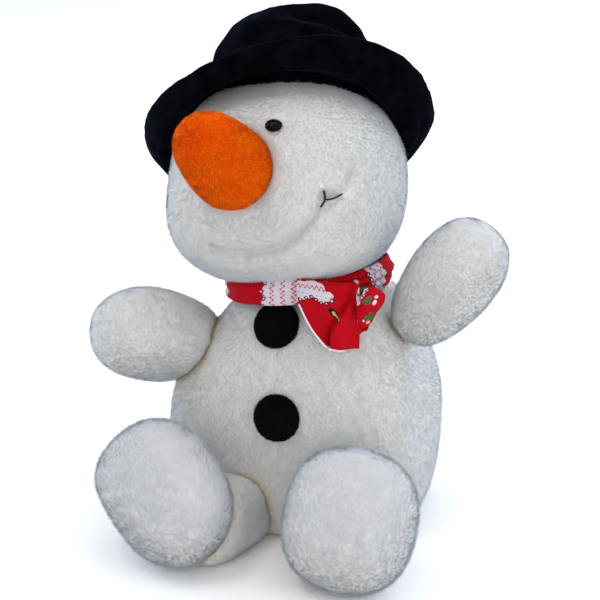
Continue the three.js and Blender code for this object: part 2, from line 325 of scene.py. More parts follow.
@dataclass(frozen=True)
class Pile:
    """How a pile cloth's fibres stand.

    Attributes:
        per_mm2: Fibres for each square millimetre of skin.
        length: Fibre length in millimetres.
        width: Width at the root in millimetres.
        lean_deg: Usual lean from upright.
        flow: The way the pile is brushed.
        clump_mm: Wave length of the unevenness.
        unruly: Strength of the unevenness.
        stray: How far single fibres stray from the flow.
        comb: How far the shading follows the fibres rather than the skin.
        seed: Seed of the draw.
    """

    per_mm2: float
    length: float
    width: float
    lean_deg: float
    flow: tuple[float, float, float]
    clump_mm: float = 9.0
    unruly: float = 0.25
    stray: float = 0.18
    comb: float = 0.12
    seed: int = 1

    # Most fibres in a piece; depth of a root and gap between a fibre's faces in millimetres;
    # how far a fibre twists; spread of the lean, and its limits in radians.
    MOST: ClassVar[int] = 98000
    SUNK_MM: ClassVar[float] = 0.3
    BACK_GAP_MM: ClassVar[float] = 0.03
    TWIST: ClassVar[float] = 0.15
    LEAN_SPREAD_DEG: ClassVar[float] = 8.0
    LEAN_LIMITS: ClassVar[tuple[float, float]] = (0.05, 1.45)

    def grow(
        self,
        host: bpy.types.Object,
        name: str,
        finish: bpy.types.Material,
        keep: np.ndarray | None = None,
    ) -> bpy.types.Object:
        """Cover a skin with fibres, each a sliver with a front and a back.

        Args:
            host: The skin.
            name: Name of the new piece.
            finish: Material of the fibres.
            keep: For each point of the skin, the share of fibres kept and their height, 0 to 1.

        Returns:
            The fibres as one mesh.
        """
        draw = np.random.default_rng(self.seed)
        root, normal, height = self.scatter(host.data, keep, draw)
        tip, reach = self.comb_tips(root, normal, height, draw)
        side = unit(np.cross(tip - root, normal + self.TWIST * draw.normal(size=root.shape)))
        facing = (np.cross(side, tip - root) * normal).sum(axis=1, keepdims=True)
        side *= np.where(facing < 0.0, -1.0, 1.0) * self.width * MM / 2
        sunk = root - normal * self.SUNK_MM * MM
        fronts = np.stack([sunk - side, sunk + side, tip], axis=1)
        backs = fronts[:, ::-1] - normal[:, None, :] * self.BACK_GAP_MM * MM
        spots = np.concatenate([fronts, backs]).reshape(-1, 3)
        shade = unit(normal + self.comb * (tip - root) / reach)
        pile = triangles(name, spots, np.repeat(np.tile(shade, (2, 1)), 3, axis=0))
        pile.data.materials.append(finish)
        pile.visible_shadow = False
        return pile

    def scatter(
        self, mesh: bpy.types.Mesh, keep: np.ndarray | None, draw: np.random.Generator
    ) -> tuple[np.ndarray, np.ndarray, np.ndarray]:
        """Spread the fibres' roots over a skin.

        Args:
            mesh: Mesh of the skin.
            keep: Share kept at each of its points, or None for all.
            draw: Source of chance.

        Returns:
            The roots, the skin's normals there, and the fibres' heights from 0 to 1.
        """
        mesh.calc_loop_triangles()
        points, normals = points_of(mesh), normals_of(mesh)
        corners = np.zeros(len(mesh.loop_triangles) * 3, int)
        mesh.loop_triangles.foreach_get("vertices", corners)
        corners = corners.reshape(-1, 3)
        keep = np.ones(len(points)) if keep is None else keep
        a, b, c = (points[corners[:, k]] for k in range(3))
        area = np.linalg.norm(np.cross(b - a, c - a), axis=1) / 2
        weight = area * keep[corners].mean(axis=1)
        count = min(int(self.per_mm2 * weight.sum() / MM**2), self.MOST)
        chosen = corners[draw.choice(len(corners), count, p=weight / weight.sum())]
        share = draw.dirichlet((1.0, 1.0, 1.0), count)[:, :, None]
        root = (points[chosen] * share).sum(axis=1)
        normal = unit((normals[chosen] * share).sum(axis=1))
        return root, normal, (keep[chosen][:, :, None] * share).sum(axis=(1, 2))

    def comb_tips(
        self, root: np.ndarray, normal: np.ndarray, height: np.ndarray, draw: np.random.Generator
    ) -> tuple[np.ndarray, np.ndarray]:
        """Lean the fibres along the flow.

        Args:
            root: Roots of the fibres.
            normal: Normals of the skin there.
            height: Heights from 0 to 1.
            draw: Source of chance.

        Returns:
            The tips and the lengths, in metres.
        """
        flow = np.array(self.flow, float) + self.unruly * Ripple(self.seed + 1, self.clump_mm).at(root)
        flow += self.stray * draw.normal(size=root.shape)
        along = unit(flow - (flow * normal).sum(axis=1, keepdims=True) * normal)
        degrees = self.lean_deg + draw.normal(0, self.LEAN_SPREAD_DEG, len(root))
        lean = np.radians(degrees).clip(*self.LEAN_LIMITS)[:, None]
        reach = self.length * MM * (0.55 + 0.45 * draw.random(len(root)))[:, None]
        reach *= (0.35 + 0.65 * height)[:, None]
        return root + reach * (normal * np.cos(lean) + along * np.sin(lean)), reach


def triangles(name: str, spots: np.ndarray, toward: np.ndarray) -> bpy.types.Object:
    """Make one piece of many loose fibres, each a sliver of three points.

    Args:
        name: Name of the piece.
        spots: Points, three rows to a fibre.
        toward: Shading normal of each point.

    Returns:
        The new piece.
    """
    total = len(spots)
    mesh = bpy.data.meshes.new(name)
    mesh.vertices.add(total)
    mesh.vertices.foreach_set("co", spots.astype(np.float32).ravel())
    mesh.loops.add(total)
    mesh.loops.foreach_set("vertex_index", np.arange(total, dtype=np.int32))
    mesh.polygons.add(total // 3)
    mesh.polygons.foreach_set("loop_start", np.arange(0, total, 3, dtype=np.int32))
    mesh.update(calc_edges=True)
    shade_smooth(mesh)
    mesh.normals_split_custom_set_from_vertices(toward)
    return new_object(name, mesh)


# ---------------------------------------------------------------- finishes


class Nodes:
    """A short way to build one material or group."""

    def __init__(self, tree: bpy.types.NodeTree) -> None:
        """Hold the node tree to build in."""
        self.tree = tree

    def add(self, kind: str, **settings: object) -> bpy.types.Node:
        """Add a node.

        Args:
            kind: The node's type name.
            **settings: Attributes to set on it.

        Returns:
            The node.
        """
        node = self.tree.nodes.new(kind)
        for key, value in settings.items():
            setattr(node, key, value)
        return node

    def join(self, source: Socket, target: Socket) -> None:
        """Link two sockets."""
        self.tree.links.new(source, target)

    def noise(self, where: Socket, scale: float, detail: float = 2.0) -> Socket:
        """Add a noise.

        Args:
            where: Place at which it is read.
            scale: Waves per metre.
            detail: Number of finer waves.

        Returns:
            The noise value.
        """
        node = self.add("ShaderNodeTexNoise")
        fill(node, {"Scale": scale, "Detail": detail})
        self.join(where, node.inputs["Vector"])
        return node.outputs["Fac"]

    def between(self, value: Socket, low: float, high: float) -> Socket:
        """Stretch a value smoothly from low..high to 0..1 and clamp it.

        Args:
            value: The value.
            low: Where the result is 0.
            high: Where the result is 1.

        Returns:
            The stretched value.
        """
        node = self.add("ShaderNodeMapRange", interpolation_type="SMOOTHSTEP")
        fill(node, {"From Min": low, "From Max": high})
        self.join(value, node.inputs["Value"])
        return node.outputs["Result"]

    def blend(self, mask: Socket, under: Socket | Sequence[float], over: Socket | Sequence[float]) -> Socket:
        """Mix two colours.

        Args:
            mask: 0 for the first colour and 1 for the second.
            under: The first colour.
            over: The second colour.

        Returns:
            The mixed colour.
        """
        node = self.add("ShaderNodeMix", data_type="RGBA")
        self.join(mask, node.inputs[0])
        for socket, value in ((node.inputs[6], under), (node.inputs[7], over)):
            if isinstance(value, Socket):
                self.join(value, socket)
            else:
                socket.default_value = (*value, 1.0)
        return node.outputs[2]

    def spot(self, where: Socket, middle: Sequence[float], radius: float, soft: float = 0.12) -> Socket:
        """Draw a disc on a flat pattern.

        Args:
            where: Place on the pattern.
            middle: Middle of the disc.
            radius: Radius of the disc.
            soft: Softness of its edge.

        Returns:
            1 inside the disc and 0 outside it.
        """
        node = self.add("ShaderNodeVectorMath", operation="DISTANCE")
        self.join(where, node.inputs[0])
        node.inputs[1].default_value = (middle[0], middle[1], 0.0)
        return self.between(node.outputs["Value"], radius + soft, radius - soft)

    def discs(self, where: Socket, lobes: Iterable[tuple[float, float, float]]) -> Socket:
        """Draw several discs, each given by its middle and radius, as one mask.

        Args:
            where: Place on the pattern.
            lobes: Middle and radius of each disc.

        Returns:
            1 inside any of them and 0 outside them all.
        """
        masks = [self.spot(where, lobe, lobe[2]) for lobe in lobes]
        total = masks[0]
        for mask in masks[1:]:
            total = self.sum("MAXIMUM", total, mask)
        return total

    def sum(self, kind: str, first: Socket, second: Socket | float = 0.0) -> Socket:
        """Put two values together.

        Args:
            kind: Name of the operation.
            first: The first value.
            second: The second value.

        Returns:
            The result.
        """
        node = self.add("ShaderNodeMath", operation=kind)
        self.join(first, node.inputs[0])
        if isinstance(second, Socket):
            self.join(second, node.inputs[1])
        else:
            node.inputs[1].default_value = second
        return node.outputs[0]


def fill(node: bpy.types.Node, values: dict[str, object]) -> None:
    """Set plain values on a node's named inputs."""
    for key, value in values.items():
        node.inputs[key].default_value = value


def new_material(
    name: str, colour: Sequence[float]
) -> tuple[bpy.types.Material, Nodes, bpy.types.Node]:
    """Start a material.

    Args:
        name: Name of the material.
        colour: Its plain colour outside a render.

    Returns:
        The material, the builder of its nodes, and its main shader.
    """
    material = bpy.data.materials.new(name)
    material.use_nodes = True
    material.diffuse_color = (*colour, 1.0)
    return material, Nodes(material.node_tree), material.node_tree.nodes["Principled BSDF"]


def new_group(name: str, inputs: dict[str, float], outputs: dict[str, str]) -> bpy.types.NodeTree:
    """Start a shared shader group.

    Args:
        name: Name of the group.
        inputs: Float inputs and their defaults.
        outputs: Output names and socket types.

    Returns:
        The empty group.
    """
    tree = bpy.data.node_groups.new(name, "ShaderNodeTree")
    for key, value in inputs.items():
        socket = tree.interface.new_socket(key, in_out="INPUT", socket_type="NodeSocketFloat")
        socket.default_value = value
    for key, kind in outputs.items():
        tree.interface.new_socket(key, in_out="OUTPUT", socket_type=kind)
    return tree


def cloth_grain_group() -> bpy.types.NodeTree:
    """Build the shared grain of short-piled and felted cloth.

    Returns:
        The group, which puts out a mottle and a fine height.
    """
    tree = new_group(
        "cloth_grain",
        {"Mottle Scale": 60.0, "Grain Scale": 1500.0},
        {"Mottle": "NodeSocketFloat", "Height": "NodeSocketFloat"},
    )
    n = Nodes(tree)
    given = n.add("NodeGroupInput")
    made = n.add("NodeGroupOutput")
    where = n.add("ShaderNodeTexCoord").outputs["Object"]
    for key, out, detail in (("Mottle Scale", "Mottle", 3.0), ("Grain Scale", "Height", 2.0)):
        node = n.add("ShaderNodeTexNoise")
        node.inputs["Detail"].default_value = detail
        n.join(where, node.inputs["Vector"])
        n.join(given.outputs[key], node.inputs["Scale"])
        n.join(node.outputs["Fac"], made.inputs[out])
    return tree


@dataclass(frozen=True)
class PlainPile:
    """Finish of the fibres themselves: one colour with a soft sheen.

    Attributes:
        name: Name of the material.
        colour: Linear base colour.
        sheen: Sheen weight.
        roughness: Surface roughness.
    """

    SPECULAR: ClassVar[float] = 0.04
    SHEEN_ROUGHNESS: ClassVar[float] = 0.6
    SHEEN_TINT: ClassVar[tuple[float, ...]] = (0.80, 0.88, 1.0, 1.0)

    name: str
    colour: tuple[float, float, float]
    sheen: float = 0.5
    roughness: float = 0.95

    def build(self) -> bpy.types.Material:
        """Build the material.

        Returns:
            The new material.
        """
        material, _, shader = new_material(self.name, self.colour)
        fill(
            shader,
            {
                "Base Color": (*self.colour, 1.0),
                "Roughness": self.roughness,
                "Specular IOR Level": self.SPECULAR,
                "Sheen Weight": self.sheen,
                "Sheen Roughness": self.SHEEN_ROUGHNESS,
                "Sheen Tint": self.SHEEN_TINT,
            },
        )
        return material


@dataclass(frozen=True)
class GrainCloth:
    """Finish of felt, velveteen and backing cloth, mottled and with a fine grain.

    Attributes:
        name: Name of the material.
        low: Linear colour of the darker patches.
        high: Linear colour of the lighter patches.
        grain: Waves of the fine grain per metre.
        mottle: Waves of the mottle per metre.
        bump_mm: Height of the grain in millimetres.
        sheen: Sheen weight.
        sheen_tint: Sheen colour.
        roughness: Surface roughness.
        gloss: Specular level.
    """

    SHEEN_ROUGHNESS: ClassVar[float] = 0.35

    name: str
    low: tuple[float, float, float]
    high: tuple[float, float, float]
    grain: float = 1500.0
    mottle: float = 60.0
    bump_mm: float = 0.2
    sheen: float = 0.3
    sheen_tint: tuple[float, float, float] = (1.0, 1.0, 1.0)
    roughness: float = 0.9
    gloss: float = 0.04

    def build(self, grain: bpy.types.NodeTree) -> bpy.types.Material:
        """Build the material.

        Args:
            grain: The shared grain group.

        Returns:
            The new material.
        """
        material, n, shader = new_material(self.name, self.high)
        group = n.add("ShaderNodeGroup", node_tree=grain)
        fill(group, {"Mottle Scale": self.mottle, "Grain Scale": self.grain})
        patch = n.between(group.outputs["Mottle"], 0.35, 0.65)
        n.join(n.blend(patch, self.low, self.high), shader.inputs["Base Color"])
        bump = n.add("ShaderNodeBump")
        bump.inputs["Distance"].default_value = self.bump_mm * MM
        n.join(group.outputs["Height"], bump.inputs["Height"])
        n.join(bump.outputs["Normal"], shader.inputs["Normal"])
        fill(
            shader,
            {
                "Roughness": self.roughness,
                "Specular IOR Level": self.gloss,
                "Sheen Weight": self.sheen,
                "Sheen Roughness": self.SHEEN_ROUGHNESS,
                "Sheen Tint": (*self.sheen_tint, 1.0),
            },
        )
        return material


@dataclass(frozen=True)
class PrintedCotton:
    """Finish of the scarf: red cotton, printed with snow patches, ring dots and small sprigs.

    The print repeats on a tile measured in millimetres on the flat cloth.

    Attributes:
        red: Linear ground colour.
        white: Linear colour of the snow patches.
        black: Linear colour of the ring dots.
        green: Linear colour of the sprigs.
        yellow: Linear colour of the heart of the dark bars.
        tile: Width and height of the repeat.
        ring: Outer and inner radius of a ring dot.
        snow: Middle and radius of each lobe of the snow patches.
        rings: Middles of the ring dots under the patches.
        leaves: Middle and radius of each leaf.
        chips: Middle and radius of each small white berry.
        bar: Upper end of the dark bar.
        wobble: Waves per millimetre and reach of the print's unevenness.
        weave: Waves per millimetre and distortion of the woven threads.
    """

    red: Colour = (0.46, 0.0015, 0.0075)
    white: Colour = (0.66, 0.60, 0.66)
    black: Colour = (0.010, 0.010, 0.014)
    green: Colour = (0.02, 0.15, 0.05)
    yellow: Colour = (0.62, 0.42, 0.05)
    tile: tuple[float, float] = (66.0, 160.0)
    ring: tuple[float, float] = (1.35, 0.62)
    snow: Line = (
        *((4.0, 31.5, 6.5), (10.0, 34.0, 5.5), (16.0, 30.0, 4.3), (13.0, 33.5, 5.0), (19.8, 30.6, 3.0)),
        *((43.0, 33.0, 8.0), (50.0, 34.5, 9.0), (57.5, 33.0, 8.0), (50.0, 41.0, 8.0)),
        *((43.0, 89.0, 8.0), (50.0, 90.5, 9.0), (57.5, 89.0, 8.0), (50.0, 95.0, 8.0)),
        *((43.5, 148.0, 6.5), (50.0, 149.0, 7.5), (57.0, 147.0, 6.5)),
    )
    rings: tuple[tuple[float, float], ...] = (
        *((3.0, 24.2), (6.7, 26.8), (9.8, 28.6), (12.6, 27.2), (15.6, 25.3), (18.9, 26.0), (22.4, 28.6)),
        *((42.0, 24.4), (46.3, 26.6), (50.8, 24.6), (55.2, 26.2), (59.2, 24.6)),
        *((42.0, 80.4), (46.3, 82.6), (50.8, 80.6), (55.2, 82.2), (59.2, 80.6)),
        *((43.5, 141.0), (47.6, 142.6), (51.8, 141.2), (56.0, 140.4)),
    )
    leaves: Line = (
        *((46.0, 12.0, 1.7), (49.2, 14.4, 1.8), (48.6, 10.2, 1.5), (52.6, 12.4, 1.6)),
        *((51.0, 112.0, 2.0), (54.6, 114.6, 2.2), (52.0, 117.0, 1.8)),
        *((46.0, 131.5, 2.2), (49.0, 134.5, 2.0), (45.5, 136.0, 1.7)),
    )
    chips: Line = (
        *((55.5, 14.5, 1.5), (51.0, 7.0, 1.8), (45.0, 7.6, 1.2)),
        *((55.0, 110.4, 1.6), (50.6, 108.4, 1.3), (50.5, 129.0, 1.5), (53.0, 132.0, 1.2)),
    )
    bar: tuple[float, float] = (21.8, 21.5)
    wobble: tuple[float, float] = (0.35, 1.3)
    weave: tuple[float, float] = (0.7, 0.4)

    def build(self) -> bpy.types.Material:
        """Build the material.

        Returns:
            The new material.
        """
        material, n, shader = new_material("scarf printed cotton", self.red)
        flat = n.add("ShaderNodeUVMap", uv_map=CLOTH_UV).outputs["UV"]
        inked = n.add("ShaderNodeVectorMath", operation="SCALE")
        inked.inputs["Scale"].default_value = UV_MM
        n.join(flat, inked.inputs[0])
        where = self.place_in_tile(n, inked.outputs[0])
        outer, inner = self.ring
        x, y = self.bar
        steps = range(4)
        snow = n.discs(where, self.snow)
        masks = {
            "ring": n.discs(where, [(*spot, outer) for spot in self.rings]),
            "heart": n.discs(where, [(*spot, inner) for spot in self.rings]),
            "leaf": n.discs(where, self.leaves),
            "chips": n.discs(where, self.chips),
            "bar": n.discs(where, [(x + 0.25 * k * k, y - 1.5 * k, 2.3 - 0.28 * k) for k in steps]),
            "core": n.discs(where, [(x + 0.5 + 0.25 * k * k, y - 0.5 - 1.4 * k, 0.85) for k in steps]),
        }
        colour = n.blend(snow, self.red, self.white)
        for mask, ink in (
            (self.wavy_rows(n, where, snow), self.red),
            (masks["leaf"], self.green),
            (masks["chips"], self.white),
            (masks["bar"], self.black),
            (masks["core"], self.yellow),
            (masks["ring"], self.black),
            (masks["heart"], self.white),
        ):
            colour = n.blend(mask, colour, ink)
        n.join(colour, shader.inputs["Base Color"])
        threads = []
        for way in ("X", "Y"):
            wave = n.add("ShaderNodeTexWave", bands_direction=way)
            fill(wave, {"Scale": self.weave[0], "Distortion": self.weave[1]})
            n.join(inked.outputs[0], wave.inputs["Vector"])
            threads.append(wave.outputs["Fac"])
        bump = n.add("ShaderNodeBump")
        fill(bump, {"Distance": 0.08 * MM, "Strength": 0.7})
        n.join(n.sum("ADD", *threads), bump.inputs["Height"])
        n.join(bump.outputs["Normal"], shader.inputs["Normal"])
        fill(shader, {"Roughness": 0.8, "Specular IOR Level": 0.08})
        return material

    def place_in_tile(self, n: Nodes, inked: Socket) -> Socket:
        """Shift a place on the flat cloth unevenly, and fold it into the repeat.

        Args:
            n: Builder of the material's nodes.
            inked: Place on the cloth, in millimetres.

        Returns:
            The place in the tile.
        """
        waves, reach = self.wobble
        uneven = n.add("ShaderNodeTexNoise")
        uneven.inputs["Scale"].default_value = waves
        n.join(inked, uneven.inputs["Vector"])
        shifted = n.add("ShaderNodeVectorMath", operation="MULTIPLY_ADD")
        shifted.inputs[1].default_value = (reach, reach, 0.0)
        n.join(uneven.outputs["Color"], shifted.inputs[0])
        n.join(inked, shifted.inputs[2])
        tiled = n.add("ShaderNodeVectorMath", operation="MODULO")
        tiled.inputs[1].default_value = (*self.tile, 1000.0)
        n.join(shifted.outputs[0], tiled.inputs[0])
        return tiled.outputs[0]

    @staticmethod
    def wavy_rows(n: Nodes, where: Socket, snow: Socket) -> Socket:
        """Draw thin wavy rows on the snow patches, above the lowest part of each.

        Args:
            n: Builder of the material's nodes.
            where: Place in the tile.
            snow: Mask of the patches.

        Returns:
            Mask of the rows.
        """
        split = n.add("ShaderNodeSeparateXYZ")
        n.join(where, split.inputs[0])
        across, up = split.outputs["X"], split.outputs["Y"]
        wave = n.sum("SINE", n.sum("MULTIPLY", across, 2.3))
        row = n.sum("PINGPONG", n.sum("ADD", up, wave), 2.9)
        line = n.between(row, 0.62, 0.28)
        high = n.between(up, 29.6, 30.2)
        return n.sum("MULTIPLY", n.sum("MULTIPLY", line, high), snow)


@dataclass(frozen=True)
class GlossBead:
    """Finish of the bead eyes.

    Attributes:
        colour: Linear base colour.
        roughness: Least and greatest roughness of the finely scuffed gloss.
        specular: Specular level.
    """

    colour: Colour = (0.003, 0.0028, 0.003)
    roughness: tuple[float, float] = (0.06, 0.14)
    specular: float = 0.07

    def build(self) -> bpy.types.Material:
        """Build the material.

        Returns:
            The new material.
        """
        material, n, shader = new_material("eye bead gloss", self.colour)
        where = n.add("ShaderNodeTexCoord").outputs["Object"]
        scuff = n.between(n.noise(where, 900.0, 3.0), 0.3, 0.7)
        rough = n.add("ShaderNodeMapRange")
        fill(rough, {"To Min": self.roughness[0], "To Max": self.roughness[1]})
        n.join(scuff, rough.inputs["Value"])
        n.join(rough.outputs["Result"], shader.inputs["Roughness"])
        fill(shader, {"Base Color": (*self.colour, 1.0), "Specular IOR Level": self.specular})
        return material


class Wardrobe:
    """Every finish of the toy, built once."""

    def __init__(self) -> None:
        """Build the shared group and the materials."""
        grain = cloth_grain_group()
        self.white = PlainPile("white pile", (0.635, 0.625, 0.60), sheen=0.9).build()
        # Painted shade: a darker, yellower copy of the white pile for the creases between pieces and along
        # seams.
        self.painted_shade = PlainPile("white pile with painted crease shade", (0.63, 0.53, 0.29)).build()
        # The feet's own white pile, partly painted bluer and a little brighter for cool sky light.
        self.long = PlainPile("long white pile with painted skylight", (0.665, 0.67, 0.69), sheen=0.9).build()
        self.amber = PlainPile("amber tips", (1.0, 0.27, 0.006), sheen=0.0).build()
        self.orange = PlainPile("orange pile", (0.82, 0.088, 0.0006), sheen=0.0).build()
        self.felt_fuzz = PlainPile("felt fuzz", (0.0025, 0.0025, 0.0035), sheen=0.004).build()
        self.white_back = GrainCloth(
            "white pile backing", (0.61, 0.60, 0.57), (0.65, 0.645, 0.62)
        ).build(grain)
        self.orange_back = GrainCloth(
            "orange pile backing", (0.66, 0.06, 0.0006), (0.76, 0.08, 0.0006), sheen=0.0
        ).build(grain)
        self.hat = GrainCloth(
            "hat velveteen",
            (0.0011, 0.0011, 0.0018),
            (0.0024, 0.0024, 0.0038),
            grain=1400.0,
            mottle=90.0,
            bump_mm=0.3,
            sheen=0.03,
            sheen_tint=(0.25, 0.38, 1.0),
            gloss=0.005,
        ).build(grain)
        self.felt = GrainCloth(
            "button felt", (0.0015, 0.0015, 0.002), (0.003, 0.003, 0.004), grain=1100.0,
            bump_mm=0.35, sheen=0.0,
        ).build(grain)
        self.thread = GrainCloth(
            "mouth thread", (0.012, 0.012, 0.015), (0.03, 0.03, 0.034), grain=3000.0, bump_mm=0.1, sheen=0.05
        ).build(grain)
        self.hem = GrainCloth(
            "scarf hem cotton", (0.62, 0.55, 0.57), (0.80, 0.76, 0.78), grain=2400.0, bump_mm=0.1, sheen=0.1
        ).build(grain)
        self.scarf = PrintedCotton().build()
        self.bead = GlossBead().build()


def declare(piece: bpy.types.Object, slot: Slot, *nodes: str) -> None:
    """Tie a piece to the body, hide the solids that it stands for, and log its slot.

    Args:
        piece: The finished piece.
        slot: Its material slot.
        *nodes: Solids that it replaces, if any.
    """
    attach(piece, BODY)
    if nodes:
        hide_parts(*nodes)
    faces = len(piece.data.polygons)
    LOG.info("%s: %d faces, slot %s", piece.name, faces, slot.value)


# ---------------------------------------------------------------- stuffed pieces


@dataclass
class Stuffed:
    """One sewn and stuffed piece with its pile.

    Attributes:
        node: Solid of the frame that it replaces.
        pile: Fibres that cover it.
        slot: Material slot.
        voxel_mm: Spacing of the skin.
        puff_mm: How far the skin is let out to meet its neighbours.
        rounds: Smoothing rounds.
        carve: Extra shaping of the skin, if any.
        seams: Sewn lines in millimetres, drawn in.
        seam_cut: Depth and half-width of a drawn-in seam, in millimetres.
        crease_shading: Strength and half-width of the painted shade in a crease, a darker and yellower pile,
            in millimetres.
        seam_shading: The same painted shade along a seam.
        covered_mm: How near a cover has to be for the pile to stop.
    """

    node: str
    pile: Pile
    slot: Slot = Slot.WHITE
    voxel_mm: float = 2.6
    puff_mm: float = 0.8
    rounds: int = 22
    carve: Callable[[np.ndarray, np.ndarray], np.ndarray] | None = None
    seams: tuple[Line, ...] = ()
    seam_cut: tuple[float, float] = (0.9, 1.7)
    crease_shading: tuple[float, float] = (0.95, 5.2)
    seam_shading: tuple[float, float] = (0.4, 2.2)
    covered_mm: float = 2.5

    def skin(self) -> bpy.types.Object:
        """Make the stuffed skin in the shape of its solid.

        Returns:
            The skin.
        """
        piece = node_copy(self.node, self.node + "_skin")
        remesh(piece, self.voxel_mm, self.rounds, subdivide=1)
        points = points_of(piece.data) + normals_of(piece.data) * self.puff_mm * MM
        if self.carve is not None:
            points += self.carve(points, normals_of(piece.data))
        depth, spread = self.seam_cut
        for spots in self.seams:
            cut = depth * MM * hump(gap_to(points, sewn_line(spots)), spread)
            points -= normals_of(piece.data) * cut[:, None]
        points[:, 2] = np.maximum(points[:, 2], 0.0)
        place_points(piece.data, points)
        return piece

    def dress(
        self,
        backing: bpy.types.Material,
        fibre: bpy.types.Material,
        hidden: Sequence[BVHTree] = (),
        touching: Sequence[BVHTree] = (),
        shade_fibre: bpy.types.Material | None = None,
        fill: float = 0.85,
    ) -> bpy.types.Object:
        """Build the piece, grow its pile and declare both.

        Args:
            backing: Material of the skin.
            fibre: Material of the fibres.
            hidden: Search trees of the pieces under which no pile grows.
            touching: Search trees of the pieces sewn to it.
            shade_fibre: Material of the darker, yellower fibres that paint the shade of creases and seams, if
                any.
            fill: How tightly it is stuffed; not used.

        Returns:
            The skin.
        """
        piece = self.skin()
        piece.data.materials.append(backing)
        declare(piece, self.slot, self.node)
        keep = self.open_places(piece, hidden)
        # Mask of painted shade: fibres near touching pieces and seams take the darker, yellower pile.
        painted_shade = self.crease(piece, touching) if shade_fibre is not None else np.zeros(len(keep))
        declare(self.pile.grow(piece, self.node + "_pile_0", fibre, keep * (1.0 - painted_shade)), self.slot)
        if shade_fibre is not None and (keep * painted_shade).max() > 0.05:
            pile = replace(self.pile, seed=self.pile.seed + 7)
            declare(pile.grow(piece, self.node + "_crease_shade_pile", shade_fibre, keep * painted_shade), self.slot)
        return piece

    def crease(self, piece: bpy.types.Object, touching: Sequence[BVHTree]) -> np.ndarray:
        """Find the creases and seams, where the pile is painted darker and yellower as shade.

        Args:
            piece: The skin.
            touching: Search trees of the pieces sewn to it.

        Returns:
            For each point, 1 in a crease and 0 far from one.
        """
        points = points_of(piece.data)
        gap = np.full(len(points), 50.0)
        for tree in touching:
            for i, spot in enumerate(points):
                hit = tree.find_nearest(Vector(spot), 12 * MM)
                if hit[3] is not None:
                    gap[i] = min(gap[i], hit[3] / MM)
        strength, spread = self.crease_shading
        painted_shade = strength * hump(gap, spread)
        strength, spread = self.seam_shading
        for spots in self.seams:
            painted_shade = np.maximum(painted_shade, strength * hump(gap_to(points, sewn_line(spots)), spread))
        return painted_shade

    def open_places(self, piece: bpy.types.Object, hidden: Sequence[BVHTree]) -> np.ndarray:
        """Find where the skin is in the open.

        Args:
            piece: The skin.
            hidden: Search trees of the covering pieces.

        Returns:
            For each point 1 in the open, 0 under a cover or at the floor.
        """
        points, normals = points_of(piece.data), normals_of(piece.data)
        keep = np.ones(len(points))
        reach = self.covered_mm * MM
        for i, (spot, normal) in enumerate(zip(points, normals)):
            start, way = Vector(spot), Vector(normal)
            for tree in hidden:
                hit = tree.ray_cast(start - way * reach * 0.2, way, reach * 2)
                if hit[0] is not None:
                    keep[i] = 0.0
                    break
        keep[points[:, 2] < 0.4 * MM] = 0.0
        return keep


